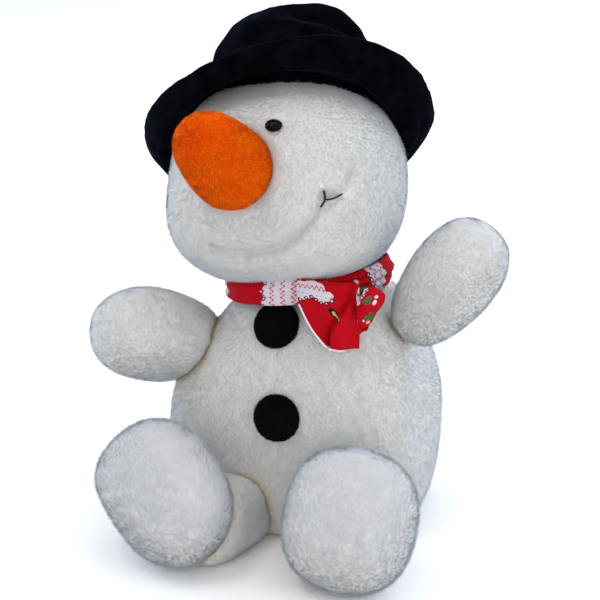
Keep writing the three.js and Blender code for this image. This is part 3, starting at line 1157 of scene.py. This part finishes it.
@dataclass
class Face:
    """The head with its sewn smile, in millimetres across and above the head's middle.

    Attributes:
        smile: Line of the smile.
        cheek_fold: Fold past its raised end.
        left_fold: Short fold beside the nose.
        seam: Upright seam under the nose.
        corner: Place of the dimple at its raised end.
        groove: Depth and half-width of the smile.
        cheek: Height, distance from the smile and half-width of the puffed cheeks.
        brow: Place, height and half-width of the swelling over an eye.
        socket: Depth and half-width of the hollow round an eye.
        dimple: Depth and half-width of the dimple.
    """

    smile: tuple[tuple[float, float], ...] = (
        *((-22.4, -21.0), (-10.6, -22.0), (3.0, -20.5), (14.5, -16.0)),
        *((24.0, -9.0), (31.5, -1.0), (36.5, 6.5)),
    )
    cheek_fold: tuple[tuple[float, float], ...] = ((38.5, 11.5), (44.0, 13.0), (47.0, 18.0), (48.0, 22.0))
    left_fold: tuple[tuple[float, float], ...] = ((-29.0, -5.0), (-22.0, -6.5))
    seam: tuple[tuple[float, float], ...] = ((-5.0, -12.0), (-4.0, -22.5), (-3.5, -35.0))
    corner: tuple[float, float] = (38.5, 11.5)
    groove: tuple[float, float] = (2.8, 2.6)
    cheek: Spot = (1.3, 9.0, 6.0)
    brow: tuple[Spot, float, float] = ((0.0, 1.8, 4.6), 2.2, 3.6)
    socket: tuple[float, float] = (0.9, 5.0)
    dimple: tuple[float, float] = (3.0, 4.0)

    def __post_init__(self) -> None:
        """Find the middle of the head and a way to put points on its skin."""
        low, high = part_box("head")
        self.middle = (low + high) / 2
        self.tree = tree_of(bpy.data.objects["head"])

    def on_skin(self, across: float, up: float) -> Vector:
        """Find a place on the face.

        Args:
            across: Distance across from its middle, in millimetres.
            up: Distance above its middle, in millimetres.

        Returns:
            The place on the skin, in metres.
        """
        start = Vector((self.middle.x + across * MM, -0.4, self.middle.z + up * MM))
        hit = self.tree.ray_cast(start, Vector((0.0, 1.0, 0.0)))
        return hit[0] if hit[0] is not None else Vector((start.x, self.middle.y, start.z))

    def line(self, spots: Iterable[tuple[float, float]]) -> np.ndarray:
        """Return a smooth line on the face through a few places."""
        return curve_through([self.on_skin(*spot) for spot in spots])

    def carve(self, points: np.ndarray, normals: np.ndarray) -> np.ndarray:
        """Draw the smile in, puff the cheeks above it and press the seams.

        Args:
            points: Skin points.
            normals: Skin normals.

        Returns:
            How each point moves.
        """
        move = np.zeros(len(points))
        smile = gap_to(points, self.line(self.smile))
        depth, spread = self.groove
        high, away, width = self.cheek
        move -= depth * hump(smile, spread)
        move += high * hump(smile - away, width)
        for spots, depth, spread in (
            (self.cheek_fold, 1.6, 3.2),
            (self.left_fold, 1.2, 2.4),
            (self.seam, 0.8, 1.8),
        ):
            move -= depth * hump(gap_to(points, self.line(spots)), spread)
        for eye in ("eye_left", "eye_right"):
            low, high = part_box(eye)
            move += self.round_eye(points, np.array((low + high) / 2))
        corner = np.linalg.norm(points - np.array(self.on_skin(*self.corner)), axis=1) / MM
        move -= self.dimple[0] * hump(corner, self.dimple[1])
        return normals * (move * MM)[:, None]

    def round_eye(self, points: np.ndarray, spot: np.ndarray) -> np.ndarray:
        """Press a hollow round an eye under a soft brow.

        Args:
            points: Skin points.
            spot: Middle of the eye.

        Returns:
            How far each point moves out, in millimetres.
        """
        over, high, width = self.brow
        depth, spread = self.socket
        away = np.linalg.norm(points - spot, axis=1) / MM
        brow = np.linalg.norm(points - spot - np.array(over) * MM, axis=1) / MM
        return high * hump(brow, width) - depth * hump(away, spread)


# ---------------------------------------------------------------- scarf


@dataclass(frozen=True)
class Cut:
    """A piece of scarf cloth as it lies flat.

    Attributes:
        name: Name of the finished piece.
        node: Solid that it stands for.
        size_mm: Width and length of the flat cloth.
        steps: Grid steps across and along.
        print_at: Place of its first corner on the printed cloth.
        turned: Whether the print runs across the piece.
        thickness_mm: Thickness of the doubled cloth.
    """

    name: str
    node: str
    size_mm: tuple[float, float]
    steps: tuple[int, int]
    print_at: tuple[float, float]
    turned: bool = False
    thickness_mm: float = 1.1

    def sew(
        self,
        place: Callable[[np.ndarray, np.ndarray], np.ndarray],
        finish: bpy.types.Material,
    ) -> bpy.types.Object:
        """Cut the cloth and lay it in its place.

        Args:
            place: Gives the place in millimetres of shares 0 to 1 across and along.
            finish: Material of the cloth.

        Returns:
            The finished piece.
        """
        work = bmesh.new()
        bmesh.ops.create_grid(work, x_segments=self.steps[0], y_segments=self.steps[1], size=0.5)
        layer = work.loops.layers.uv.new(CLOTH_UV)
        for face in work.faces:
            for loop in face.loops:
                across = (loop.vert.co.x + 0.5) * self.size_mm[0]
                along = (loop.vert.co.y + 0.5) * self.size_mm[1]
                pair = (along, across) if self.turned else (across, along)
                loop[layer].uv = ((pair[0] + self.print_at[0]) / UV_MM, (pair[1] + self.print_at[1]) / UV_MM)
        flat = np.array([(vert.co.x + 0.5, vert.co.y + 0.5) for vert in work.verts])
        laid = place(flat[:, 0], flat[:, 1]) * MM
        for vert, spot in zip(work.verts, laid):
            vert.co = spot
        bmesh.ops.remove_doubles(work, verts=work.verts, dist=0.01 * MM)
        piece = from_bmesh(self.name, work)
        wall = piece.modifiers.new("wall", "SOLIDIFY")
        wall.thickness = self.thickness_mm * MM
        wall.offset = 0.0
        finer = piece.modifiers.new("finer", "SUBSURF")
        finer.levels = finer.render_levels = 1
        settle(piece)
        self.face_out(piece.data)
        shade_smooth(piece.data)
        piece.data.materials.append(finish)
        declare(piece, Slot.SCARF, self.node)
        return piece

    @staticmethod
    def face_out(mesh: bpy.types.Mesh) -> None:
        """Turn every face of a closed skin outwards.

        Args:
            mesh: Mesh of the skin.
        """
        work = bmesh.new()
        work.from_mesh(mesh)
        bmesh.ops.recalc_face_normals(work, faces=work.faces)
        work.to_mesh(mesh)
        work.free()


@dataclass(frozen=True)
class Scarf:
    """A printed cotton scarf: a band round the neck, tied at the toy's left, with two ends.

    Attributes:
        cloth: Material of the printed side.
        hem: Material of the plain side.
        centre: Middle of the band, in millimetres.
        radius: Half-widths of the band.
        half_height: Half its height.
        tilt: Its slope to the side and to the back.
        knot_turn: Angle of the knot round the neck, in radians.
        pinch: Place from which the knot's folds spread.
        left_edge: Left edge of the large end, from its top.
        right_edge: Right edge of the large end, from its top.
        loop: Angle in degrees and reach of the knot's loop.
        short_end: Lower left, lower right, upper left and upper right corner of the short end.
    """

    cloth: bpy.types.Material
    hem: bpy.types.Material
    centre: Spot = (-4.2, 23.0, 129.0)
    radius: tuple[float, float] = (44.0, 41.4)
    half_height: float = 8.2
    tilt: tuple[float, float] = (0.15, -0.12)
    knot_turn: float = -0.62
    pinch: Spot = (37.4, -20.4, 133.0)
    left_edge: Line = (
        *((4.8, -20.0, 143.6), (5.6, -22.5, 137.4), (7.6, -23.2, 131.2)),
        *((14.8, -24.4, 118.9), (23.6, -26.2, 110.0)),
    )
    right_edge: Line = (
        *((37.4, -15.0, 142.6), (38.6, -19.4, 135.0), (38.6, -19.8, 126.2)),
        *((39.2, -19.2, 117.4), (39.4, -19.8, 108.9)),
    )
    loop: tuple[tuple[float, float], ...] = (
        *((-86, 14.0), (-73, 14.5), (-45, 12.0), (-24, 11.5), (0, 13.5), (17, 15.5), (40, 13.0)),
        (64, 9.0),
    )
    short_end: Line = ((35.5, -15.5, 113.5), (41.0, -12.5, 116.5), (35.0, -16.5, 129.0), (45.0, -11.5, 130.0))

    def make(self) -> None:
        """Cut, fold and declare every piece."""
        band = Cut("scarf_band_cloth", "scarf_band", (272.0, 17.5), (150, 20), (41.5, 23.5), turned=True)
        ring = band.sew(self.band, self.cloth)
        large = Cut("scarf_flap_cloth", "scarf_tail_long", (36.0, 40.0), (44, 48), (0.2, 0.0))
        flap = large.sew(self.flap, self.cloth)
        hem = self.edge_hem()
        knot = Cut("scarf_knot_cloth", "scarf_knot", (20.0, 40.0), (26, 64), (38.0, 102.0))
        lobe = knot.sew(self.lobe, self.cloth)
        short = Cut("scarf_under_cloth", "scarf_tail_short", (11.0, 15.0), (14, 18), (26.0, 2.0))
        under = short.sew(self.under, self.cloth)

    def band(self, s: np.ndarray, t: np.ndarray) -> np.ndarray:
        """Lay the band round the neck, with soft pleats that gather toward the knot.

        Args:
            s: Shares along the band, 0 to 1.
            t: Shares up its width, 0 to 1.

        Returns:
            The places in millimetres.
        """
        turn = math.pi * (2.0 * s - 1.0)
        up = 2.0 * t - 1.0
        near = hump(turn - self.knot_turn, 0.55)
        pleat = 0.45 * np.sin(2.3 * math.pi * up + 1.5 * np.sin(2 * turn)) + 1.1 * (1 - up**2)
        pleat += near * 1.5 * np.sin(3.4 * math.pi * up + 0.6)
        fold = 0.5 * np.sin(5 * turn + 2.2 * up) + 0.35 * np.sin(11 * turn - 1.2 * up)
        tucked = 2.6 * np.maximum(up, 0.0) ** 1.5 * (0.4 + 0.6 * hump(turn, 1.1))
        out = pleat + fold - tucked
        x = (self.radius[0] + out) * np.cos(turn)
        y = (self.radius[1] + out) * np.sin(turn)
        tall = self.half_height * (1.0 - 0.22 * near) * up
        z = tall + self.tilt[0] * x + self.tilt[1] * y + 0.5 * np.sin(3 * turn + 0.5)
        return np.stack([x, y, z], axis=1) + np.array(self.centre)

    @staticmethod
    def side(spots: Line, t: np.ndarray) -> np.ndarray:
        """Find places along an edge of the large end.

        Args:
            spots: The edge, from its top.
            t: Shares, 0 at its foot and 1 at its top.

        Returns:
            The places in millimetres.
        """
        line = curve_through([Vector(spot) for spot in spots])[::-1]
        share = np.linspace(0.0, 1.0, len(line))
        return np.stack([np.interp(t, share, line[:, k]) for k in range(3)], axis=1)

    def flap(self, s: np.ndarray, t: np.ndarray) -> np.ndarray:
        """Hang the large end: a loose belly with one sharp diagonal fold from the knot.

        Args:
            s: Shares across, 0 to 1.
            t: Shares up, 0 to 1.

        Returns:
            The places in millimetres.
        """
        left, right = self.side(self.left_edge, t), self.side(self.right_edge, t)
        down = 1.0 - t
        out = 3.6 * np.sin(math.pi * s) * (0.3 + 0.7 * np.sin(math.pi * np.clip(0.15 + 0.8 * down, 0, 1)))
        fold = s - np.interp(down, (0.2, 0.6, 1.0), (0.97, 0.69, 0.12))
        out += 5.6 * ramp(fold, -0.03, 0.04) * ramp(down, 0.2, 0.5) * (1.0 - 0.75 * ramp(s, 0.45, 1.0))
        out -= 2.6 * hump(fold + 0.075, 0.06) * ramp(down, 0.2, 0.5)
        out += 1.0 * np.sin(2 * math.pi * (1.7 * s + 0.35 * down)) * ramp(down, 0.1, 0.4)
        pucker = np.hypot((s - 0.86) * 36, (down - 0.24) * 40)
        out -= 4.2 * hump(pucker, 3.6)
        out += 1.3 * hump(pucker - 7.0, 3.0) * np.sin(5.0 * np.arctan2(down - 0.24, s - 0.86))
        base = left * (1 - s)[:, None] + right * s[:, None]
        return base + out[:, None] * unit(np.array([0.12, -0.96, 0.22]))

    def lobe(self, s: np.ndarray, t: np.ndarray) -> np.ndarray:
        """Gather the knot's loop: a fan of folds out of the pinch.

        Args:
            s: Shares out from the pinch, 0 to 1.
            t: Shares round it, 0 to 1.

        Returns:
            The places in millimetres.
        """
        turn = np.radians(-86 + 150 * t)
        reach = np.interp(np.degrees(turn), *zip(*self.loop))
        share = 0.05 + 0.95 * s
        right, up, out = np.array([[0.94, 0.342, 0.0], [0.0, 0.0, 1.0], [0.30, -0.93, 0.15]])
        high = 5.5 * np.sin(math.pi * np.clip(share, 0, 1) ** 0.7) - 4.0 * share**2
        high += 1.5 * share * np.sin(6.2 * turn + 0.8) + 0.7 * share * np.sin(13.0 * turn)
        spot = np.array(self.pinch) + (share * reach * np.cos(turn))[:, None] * right
        spot = spot + (share * reach * np.sin(turn))[:, None] * up
        return spot + high[:, None] * out

    def under(self, s: np.ndarray, t: np.ndarray) -> np.ndarray:
        """Hang the short end behind the knot.

        Args:
            s: Shares across, 0 to 1.
            t: Shares up, 0 to 1.

        Returns:
            The places in millimetres.
        """
        left, right, top_left, top_right = np.array(self.short_end)
        foot = left * (1 - s)[:, None] + right * s[:, None]
        head = top_left * (1 - s)[:, None] + top_right * s[:, None]
        spot = foot * (1 - t)[:, None] + head * t[:, None]
        out = 0.9 * np.sin(2.6 * math.pi * s) * (1 - t)
        return spot + out[:, None] * unit(np.array([0.3, -0.93, 0.1]))

    def edge_hem(self) -> bpy.types.Object:
        """Turn the white reverse over along the flap's lower left edge.

        Returns:
            The hem.
        """
        steps = 60
        share = np.linspace(0.0, 1.0, steps)
        left = self.flap(np.zeros(steps), 0.5 * (1.0 - share))
        foot = self.flap(0.62 * share, np.zeros(steps))
        line = np.concatenate([left[:-1], foot])
        line += np.array([-0.25, 0.1, -0.45])
        hem = tube("scarf_flap_hem", line * MM, 0.75 * MM)
        hem.data.materials.append(self.hem)
        declare(hem, Slot.SCARF)
        return hem


def tube(name: str, line: np.ndarray, radius: float, sides: int = 8) -> bpy.types.Object:
    """Run a thin closed tube along a line.

    Args:
        name: Name of the piece.
        line: Points of the line, in metres.
        radius: Radius of the tube.
        sides: Number of its sides.

    Returns:
        The tube.
    """
    ahead = unit(np.gradient(line, axis=0))
    across = unit(np.cross(ahead, np.array([0.31, 0.27, 0.91])))
    third = np.cross(ahead, across)
    work = bmesh.new()
    rings = []
    for spot, a, b in zip(line, across, third):
        turns = [2 * math.pi * k / sides for k in range(sides)]
        rings.append([work.verts.new(spot + radius * (a * math.cos(w) + b * math.sin(w))) for w in turns])
    for one, two in zip(rings, rings[1:]):
        for k in range(sides):
            work.faces.new((one[k], one[(k + 1) % sides], two[(k + 1) % sides], two[k]))
    work.faces.new(rings[0])
    work.faces.new(rings[-1])
    bmesh.ops.recalc_face_normals(work, faces=work.faces)
    piece = from_bmesh(name, work)
    shade_smooth(piece.data)
    return piece


# ---------------------------------------------------------------- hat


@dataclass(frozen=True)
class Hat:
    """A soft velveteen hat: a dented crown and a floppy, hemmed brim.

    Attributes:
        cloth: Material of the hat.
        origin: Middle of the crown's foot, in millimetres.
        up: The way that the crown stands.
        behind: The way to the back in the plane of the brim.
        low_end: The way to the brim's low end.
        slip: How far the brim sits off its solid, in millimetres.
        drawn: How far the low end turns in, and over what length.
        creases: Line, height and half-width of each ridge and hollow of the crown.
        rows: Height, distance from the rim and half-width of the brim's padded edge.
        skin: Voxel size and smoothing rounds of crown and brim.
        lining: Voxel size, smoothing rounds, distance from the head and thickness of the lining.
        lining_edge: Height of the lining's edge and how it drops toward the back.
    """

    cloth: bpy.types.Material
    origin: Spot = (-25.1, 49.5, 209.7)
    up: Spot = (-0.2865, 0.7875, 0.5448)
    behind: Spot = (0.0, 0.5448, -0.7875)
    low_end: Spot = (0.58, -0.132, -0.797)
    slip: Spot = (-0.5, -0.1, 0.3)
    drawn: tuple[float, float] = (4.2, 20.0)
    creases: tuple[tuple[Line, float, float], ...] = (
        (((-24.0, 55.0, 263.0), (-13.0, 56.5, 261.5), (-4.0, 59.0, 258.5), (3.0, 62.0, 254.0)), -4.8, 5.5),
        (
            (
                *((-40.0, 46.0, 259.0), (-27.0, 44.0, 260.5), (-14.0, 45.0, 258.5)),
                *((-3.0, 49.0, 256.0), (5.0, 54.0, 250.0)),
            ),
            1.8,
            4.5,
        ),
        (((-14.0, 72.0, 262.5), (-5.0, 74.0, 261.0), (5.0, 73.0, 256.0)), 1.6, 7.0),
        (((-62.0, 40.0, 235.0), (-50.0, 36.0, 246.0), (-36.0, 34.0, 252.0)), -1.6, 6.0),
    )
    rows: Line = ((0.75, 3.0, 2.6), (-0.95, 7.0, 1.0), (0.25, 10.0, 2.2))
    skin: tuple[float, int] = (1.3, 5)
    lining: tuple[float, int, float, float] = (2.2, 22, 2.9, 0.8)
    lining_edge: tuple[float, float] = (-15.0, -0.09)

    def make(self) -> None:
        low_end = unit(np.array(self.low_end))
        for node, shaper in (("hat_crown", self.fold_crown), ("hat_brim", self.hem_brim)):
            piece = node_copy(node, node + "_cloth")
            remesh(piece, *self.skin, subdivide=1)
            points, normals = points_of(piece.data), normals_of(piece.data)
            moved = points + normals * ((1.0 + shaper(points)) * MM)[:, None]
            if node == "hat_brim":
                beyond = self.from_origin(points) @ low_end / MM
                most, length = self.drawn
                drawn = most * MM * ramp(beyond, beyond.max() - length, beyond.max())
                moved += np.array(self.slip) * MM - drawn[:, None] * low_end
            place_points(piece.data, moved)
            piece.data.materials.append(self.cloth)
            declare(piece, Slot.HAT, node)
        self.line_crown()

    def from_origin(self, points: np.ndarray) -> np.ndarray:
        """Return points as rows from the middle of the crown's foot, in metres."""
        return points - np.array(self.origin) * MM

    def line_crown(self) -> None:
        """Line the hat with cloth over the head, so that crown and brim meet all the way round."""
        up, behind = unit(np.array(self.up)), unit(np.array(self.behind))
        voxel_mm, rounds, gap_mm, thick_mm = self.lining
        edge, drop = self.lining_edge
        piece = node_copy("head", "hat_lining_cloth")
        remesh(piece, voxel_mm, rounds, subdivide=1)
        place_points(piece.data, points_of(piece.data) + normals_of(piece.data) * gap_mm * MM)
        work = bmesh.new()
        work.from_mesh(piece.data)
        low = []
        for face in work.faces:
            away = self.from_origin(np.array(face.calc_center_median()))
            if away @ up / MM < edge + drop * (away @ behind / MM):
                low.append(face)
        bmesh.ops.delete(work, geom=low, context="FACES")
        work.to_mesh(piece.data)
        work.free()
        wall = piece.modifiers.new("wall", "SOLIDIFY")
        wall.thickness = thick_mm * MM
        settle(piece)
        shade_smooth(piece.data)
        piece.data.materials.append(self.cloth)
        declare(piece, Slot.HAT)

    def fold_crown(self, points: np.ndarray) -> np.ndarray:
        """Dent and crease the crown.

        Args:
            points: Points of the crown.

        Returns:
            How far each point moves out, in millimetres.
        """
        move = np.zeros(len(points))
        for spots, high, spread in self.creases:
            move += high * hump(gap_to(points, sewn_line(spots)), spread)
        above = self.from_origin(points) @ unit(np.array(self.up)) / MM
        move += 2.4 * (1.0 - ramp(above, 0.0, 9.0))
        return move + 0.45 * Ripple(91, 34.0).at(points)[:, 0]

    def hem_brim(self, points: np.ndarray) -> np.ndarray:
        """Pad the brim's edge inside a row of stitching.

        Args:
            points: Points of the brim.

        Returns:
            How far each point moves out, in millimetres.
        """
        up = unit(np.array(self.up))
        away = self.from_origin(points)
        flat = away - (away @ up)[:, None] * up
        radius = np.linalg.norm(flat, axis=1) / MM
        side = unit(np.cross(up, np.array([0.0, 0.0, 1.0])))
        turn = np.arctan2(flat @ np.cross(side, up), flat @ side)
        bins = 72
        where = (turn + math.pi) / (2 * math.pi) * bins
        edge = np.zeros(bins)
        np.maximum.at(edge, where.astype(int) % bins, radius)
        edge = (edge + np.roll(edge, 1) + np.roll(edge, -1)) / 3
        round_edge = np.concatenate([edge[-1:], edge, edge[:1]])
        inward = np.interp(where - 0.5, np.arange(-1, bins + 1), round_edge) - radius
        move = np.zeros(len(points))
        for high, place, spread in self.rows:
            move += high * hump(inward - place, spread)
        return move + 0.35 * Ripple(47, 22.0).at(points)[:, 0]


# ---------------------------------------------------------------- buttons, eyes and mouth


@dataclass(frozen=True)
class Button:
    """A round felt button with a shaggy face.

    Attributes:
        node: Solid of the frame that it replaces.
        voxel_mm: Spacing of its skin.
        rounds: Smoothing rounds.
        fuzz: Fibres that stand on it.
    """

    node: str
    voxel_mm: float = 0.8
    rounds: int = 3
    fuzz: Pile = Pile(7.0, 1.1, 0.2, 40, (0.2, 0.0, -1.0), clump_mm=4, unruly=0.8, stray=0.6, seed=61)

    def make(self, felt: bpy.types.Material, strands: bpy.types.Material) -> None:
        """Args:
            felt: Material of the felt.
            strands: Material of its fibres.
        """
        piece = node_copy(self.node, self.node + "_disc")
        remesh(piece, self.voxel_mm, self.rounds)
        piece.data.materials.append(felt)
        shaggy = self.fuzz.grow(piece, self.node + "_fuzz", strands)
        declare(piece, Slot.FELT, self.node)
        declare(shaggy, Slot.FELT)


@dataclass(frozen=True)
class Eye:
    """A glossy bead, pressed to a low oval.

    Attributes:
        node: Solid of the frame that it replaces.
        voxel_mm: Spacing of its skin.
        rounds: Smoothing rounds.
        squash: Its height as a share of the solid's.
    """

    node: str
    voxel_mm: float = 0.4
    rounds: int = 3
    squash: float = 0.7

    def make(self, gloss: bpy.types.Material) -> None:
        """Args:
            gloss: Material of the bead.
        """
        piece = node_copy(self.node, self.node + "_bead")
        remesh(piece, self.voxel_mm, self.rounds, subdivide=1)
        points = points_of(piece.data)
        middle = points[:, 2].mean()
        points[:, 2] = middle + (points[:, 2] - middle) * self.squash
        place_points(piece.data, points)
        piece.data.materials.append(gloss)
        declare(piece, Slot.BEAD, self.node)


@dataclass(frozen=True)
class Mouth:
    """Dark threads sewn through at the ends of the smile, in millimetres.

    Attributes:
        left: Strokes at the raised end.
        right: Stroke at the far end.
        radius: Radius of a thread.
        pair: How far the second thread of a stroke lies from the first.
    """

    left: tuple[Line, ...] = (
        ((21.4, -27.0, 195.2), (22.9, -29.6, 191.4), (20.9, -30.2, 187.4)),
        ((22.9, -29.6, 191.4), (26.0, -26.2, 191.2), (29.4, -22.2, 192.8)),
    )
    right: tuple[Line, ...] = (((-69.6, -13.6, 178.6), (-70.2, -13.8, 174.6), (-70.9, -13.2, 170.6)),)
    radius: float = 0.42
    pair: Spot = (0.45, 0.1, 0.15)

    def sew(self, thread: bpy.types.Material) -> None:
        """Args:
            thread: Material of the thread.
        """
        for node, strokes in (("mouth_stitch_left", self.left), ("mouth_stitch_right", self.right)):
            made = []
            for i, spots in enumerate(strokes):
                for k in range(2):
                    line = sewn_line(spots) + k * np.array(self.pair) * MM
                    made.append(tube(f"{node}_{i}{k}", line, self.radius * MM, sides=6))
            piece = joined(node + "_thread", made)
            piece.data.materials.append(thread)
            declare(piece, Slot.THREAD, node)


def joined(name: str, pieces: Sequence[bpy.types.Object]) -> bpy.types.Object:
    """Join several pieces into one.

    Args:
        name: Name of the new piece.
        pieces: The pieces, which are removed.

    Returns:
        The new piece.
    """
    work = bmesh.new()
    for piece in pieces:
        work.from_mesh(piece.data)
    for piece in pieces:
        mesh = piece.data
        bpy.data.objects.remove(piece)
        bpy.data.meshes.remove(mesh)
    whole = from_bmesh(name, work)
    shade_smooth(whole.data)
    return whole


# ---------------------------------------------------------------- scene


@dataclass(frozen=True)
class Lamp:
    """A square area lamp.

    Attributes:
        name: Its name.
        place: Where it hangs, in metres.
        size: Length of its side.
        power: Its power in watts.
        tint: Its colour.
    """

    name: str
    place: Spot
    size: float
    power: float
    tint: Colour

    def hang(self, aim: Spot) -> None:
        """Put the lamp in the scene.

        Args:
            aim: Where it points.
        """
        lamp = bpy.data.lights.new(self.name, "AREA")
        lamp.size = self.size
        lamp.energy = self.power
        lamp.color = self.tint
        rig = bpy.data.objects.new(self.name, lamp)
        bpy.context.scene.collection.objects.link(rig)
        rig.location = self.place
        way = Vector(aim) - Vector(self.place)
        rig.rotation_euler = way.to_track_quat("-Z", "Y").to_euler()


@dataclass
class Studio:
    """Floor, lights and camera.

    Attributes:
        azimuth_deg: Turn of the camera round the toy.
        elevation_deg: Its height above the floor's plane.
        distance: Its distance, in metres.
        lens_mm: Its focal length.
        aim: Where it points.
        surround: Colour of the surround.
        surround_strength: Brightness of the surround.
        lamps: The lamps: a soft key from above and five large ones round the toy.
    """

    azimuth_deg: float = 20.0
    elevation_deg: float = 22.0
    distance: float = 1.0
    lens_mm: float = 111.0
    aim: Spot = (-0.0058, 0.0135, 0.117)
    surround: Colour = (0.95, 0.965, 1.0)
    surround_strength: float = 0.78
    lamps: tuple[Lamp, ...] = (
        Lamp("key", (-0.35, -0.35, 1.25), 0.35, 2.3, (1.0, 0.98, 0.94)),
        Lamp("top", (0.0, 0.25, 1.4), 1.1, 4.9, (0.95, 0.97, 1.0)),
        Lamp("front", (0.25, -1.15, 0.35), 0.9, 2.5, (1.0, 0.98, 0.95)),
        Lamp("fill", (1.0, -0.30, 0.45), 0.8, 2.9, (0.88, 0.94, 1.0)),
        Lamp("rim", (-1.2, 0.15, 0.5), 0.8, 4.8, (0.66, 0.80, 1.0)),
        Lamp("back", (0.4, 1.1, 0.8), 0.9, 9.0, (0.70, 0.82, 1.0)),
    )

    def build(self) -> None:
        """Set the stage."""
        bpy.context.scene.view_settings.view_transform = "Standard"
        self.floor()
        self.light()
        self.camera()

    def floor(self) -> None:
        """Lay a plain pale floor."""
        work = bmesh.new()
        bmesh.ops.create_grid(work, x_segments=2, y_segments=2, size=3.0)
        floor = from_bmesh("studio_floor", work)
        pale = (0.93, 0.93, 0.93)
        material, _, shader = new_material("studio floor", pale)
        fill(shader, {"Base Color": (*pale, 1.0), "Roughness": 0.9})
        floor.data.materials.append(material)

    def light(self) -> None:
        """Hang the lamps in a pale surround."""
        world = bpy.data.worlds.new("studio surround")
        bpy.context.scene.world = world
        world.use_nodes = True
        background = world.node_tree.nodes["Background"]
        fill(background, {"Color": (*self.surround, 1.0), "Strength": self.surround_strength})
        for lamp in self.lamps:
            lamp.hang(self.aim)

    def camera(self) -> None:
        """Place the camera."""
        turn, rise = math.radians(self.azimuth_deg), math.radians(self.elevation_deg)
        away = Vector((math.sin(turn) * math.cos(rise), -math.cos(turn) * math.cos(rise), math.sin(rise)))
        lens = bpy.data.cameras.new("camera")
        lens.lens = self.lens_mm
        lens.sensor_width = 36.0
        lens.clip_start = 0.01
        rig = bpy.data.objects.new("camera", lens)
        bpy.context.scene.collection.objects.link(rig)
        rig.location = Vector(self.aim) + away * self.distance
        rig.rotation_euler = (-away).to_track_quat("-Z", "Y").to_euler()
        bpy.context.scene.camera = rig


# ---------------------------------------------------------------- the toy


BODY_PILE = Pile(
    per_mm2=2.7, length=2.4, width=0.36, lean_deg=54, comb=0.08, flow=(0.1, -0.2, -1.0), stray=0.4, seed=11
)
HEAD_PILE = replace(BODY_PILE, length=2.2, clump_mm=14.0, unruly=0.15, seed=3)
FOOT_PILE = replace(BODY_PILE, length=3.2, width=0.38, flow=(0.0, 0.1, 1.0), clump_mm=15.0, seed=21)
NOSE_PILE = Pile(6.0, 1.6, 0.27, 46, (0.3, 0.6, -0.7), clump_mm=8, unruly=0.8, stray=0.35, comb=0.45, seed=31)
NOSE_TIPS = replace(NOSE_PILE, per_mm2=1.1, length=1.8, seed=37)
ARM_FLOW = {"right": (-0.7, -0.1, 0.7), "left": (0.5, 0.1, 0.9)}
TORSO_SEAM = (
    *((-6.0, -18.0, 108.0), (-5.3, -23.2, 101.5), (-4.2, -31.0, 85.3)),
    *((0.9, -38.8, 54.7), (4.0, -38.5, 30.0)),
)


def ease_sole(points: np.ndarray, normals: np.ndarray) -> np.ndarray:
    """Draw in the right foot's outer lower corner, where the stuffing has settled.

    Args:
        points: Skin points.
        normals: Skin normals, not needed here.

    Returns:
        How each point moves.
    """
    low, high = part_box("foot_right")
    way = unit(np.array([-0.514, -0.490, -0.705]))
    beyond = (points - np.array((low + high) / 2)) @ way / MM
    return -way * (3.6 * MM * ramp(beyond, 14.0, 33.0))[:, None]


def main() -> None:
    """Build the toy around its frame, piece by piece."""
    logging.basicConfig(level=logging.INFO, format="%(name)s: %(message)s")
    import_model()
    finishes = Wardrobe()
    tree = {node: tree_of(bpy.data.objects[node]) for node in SOLIDS}
    # The pile in creases and along seams is painted with shade.
    white = {"backing": finishes.white_back, "fibre": finishes.white, "shade_fibre": finishes.painted_shade}
    head = Stuffed("head", HEAD_PILE, carve=Face().carve, voxel_mm=2.2)
    head.dress(**white, hidden=[tree[node] for node in COVERS])
    torso = Stuffed("torso", BODY_PILE, seams=(TORSO_SEAM,))
    torso.dress(**white, hidden=[tree["scarf_band"]], touching=[tree[node] for node in LIMBS])
    for side in ("right", "left"):
        arm = Stuffed("arm_" + side, replace(BODY_PILE, flow=ARM_FLOW[side]))
        arm.dress(**white, touching=[tree["torso"]])
        leg = Stuffed("leg_" + side, BODY_PILE)
        leg.dress(**white, touching=[tree["torso"], tree["foot_" + side]])
        carve = ease_sole if side == "right" else None
        foot = Stuffed("foot_" + side, FOOT_PILE, Slot.LONG, puff_mm=-0.2, carve=carve)
        foot.dress(finishes.white_back, finishes.long, touching=[tree["leg_" + side]], shade_fibre=finishes.painted_shade)
    nose = Stuffed("nose", NOSE_PILE, Slot.ORANGE, voxel_mm=1.8, rounds=14, puff_mm=-0.2)
    nose_skin = nose.dress(finishes.orange_back, finishes.orange)
    declare(NOSE_TIPS.grow(nose_skin, "nose_tips", finishes.amber), Slot.ORANGE)
    Hat(finishes.hat).make()
    Scarf(finishes.scarf, finishes.hem).make()
    for node in ("button_upper", "button_lower"):
        Button(node).make(finishes.felt, finishes.felt_fuzz)
    for node in ("eye_right", "eye_left"):
        Eye(node).make(finishes.bead)
    Mouth().sew(finishes.thread)
    Studio().build()


if __name__ == "__main__":
    main()
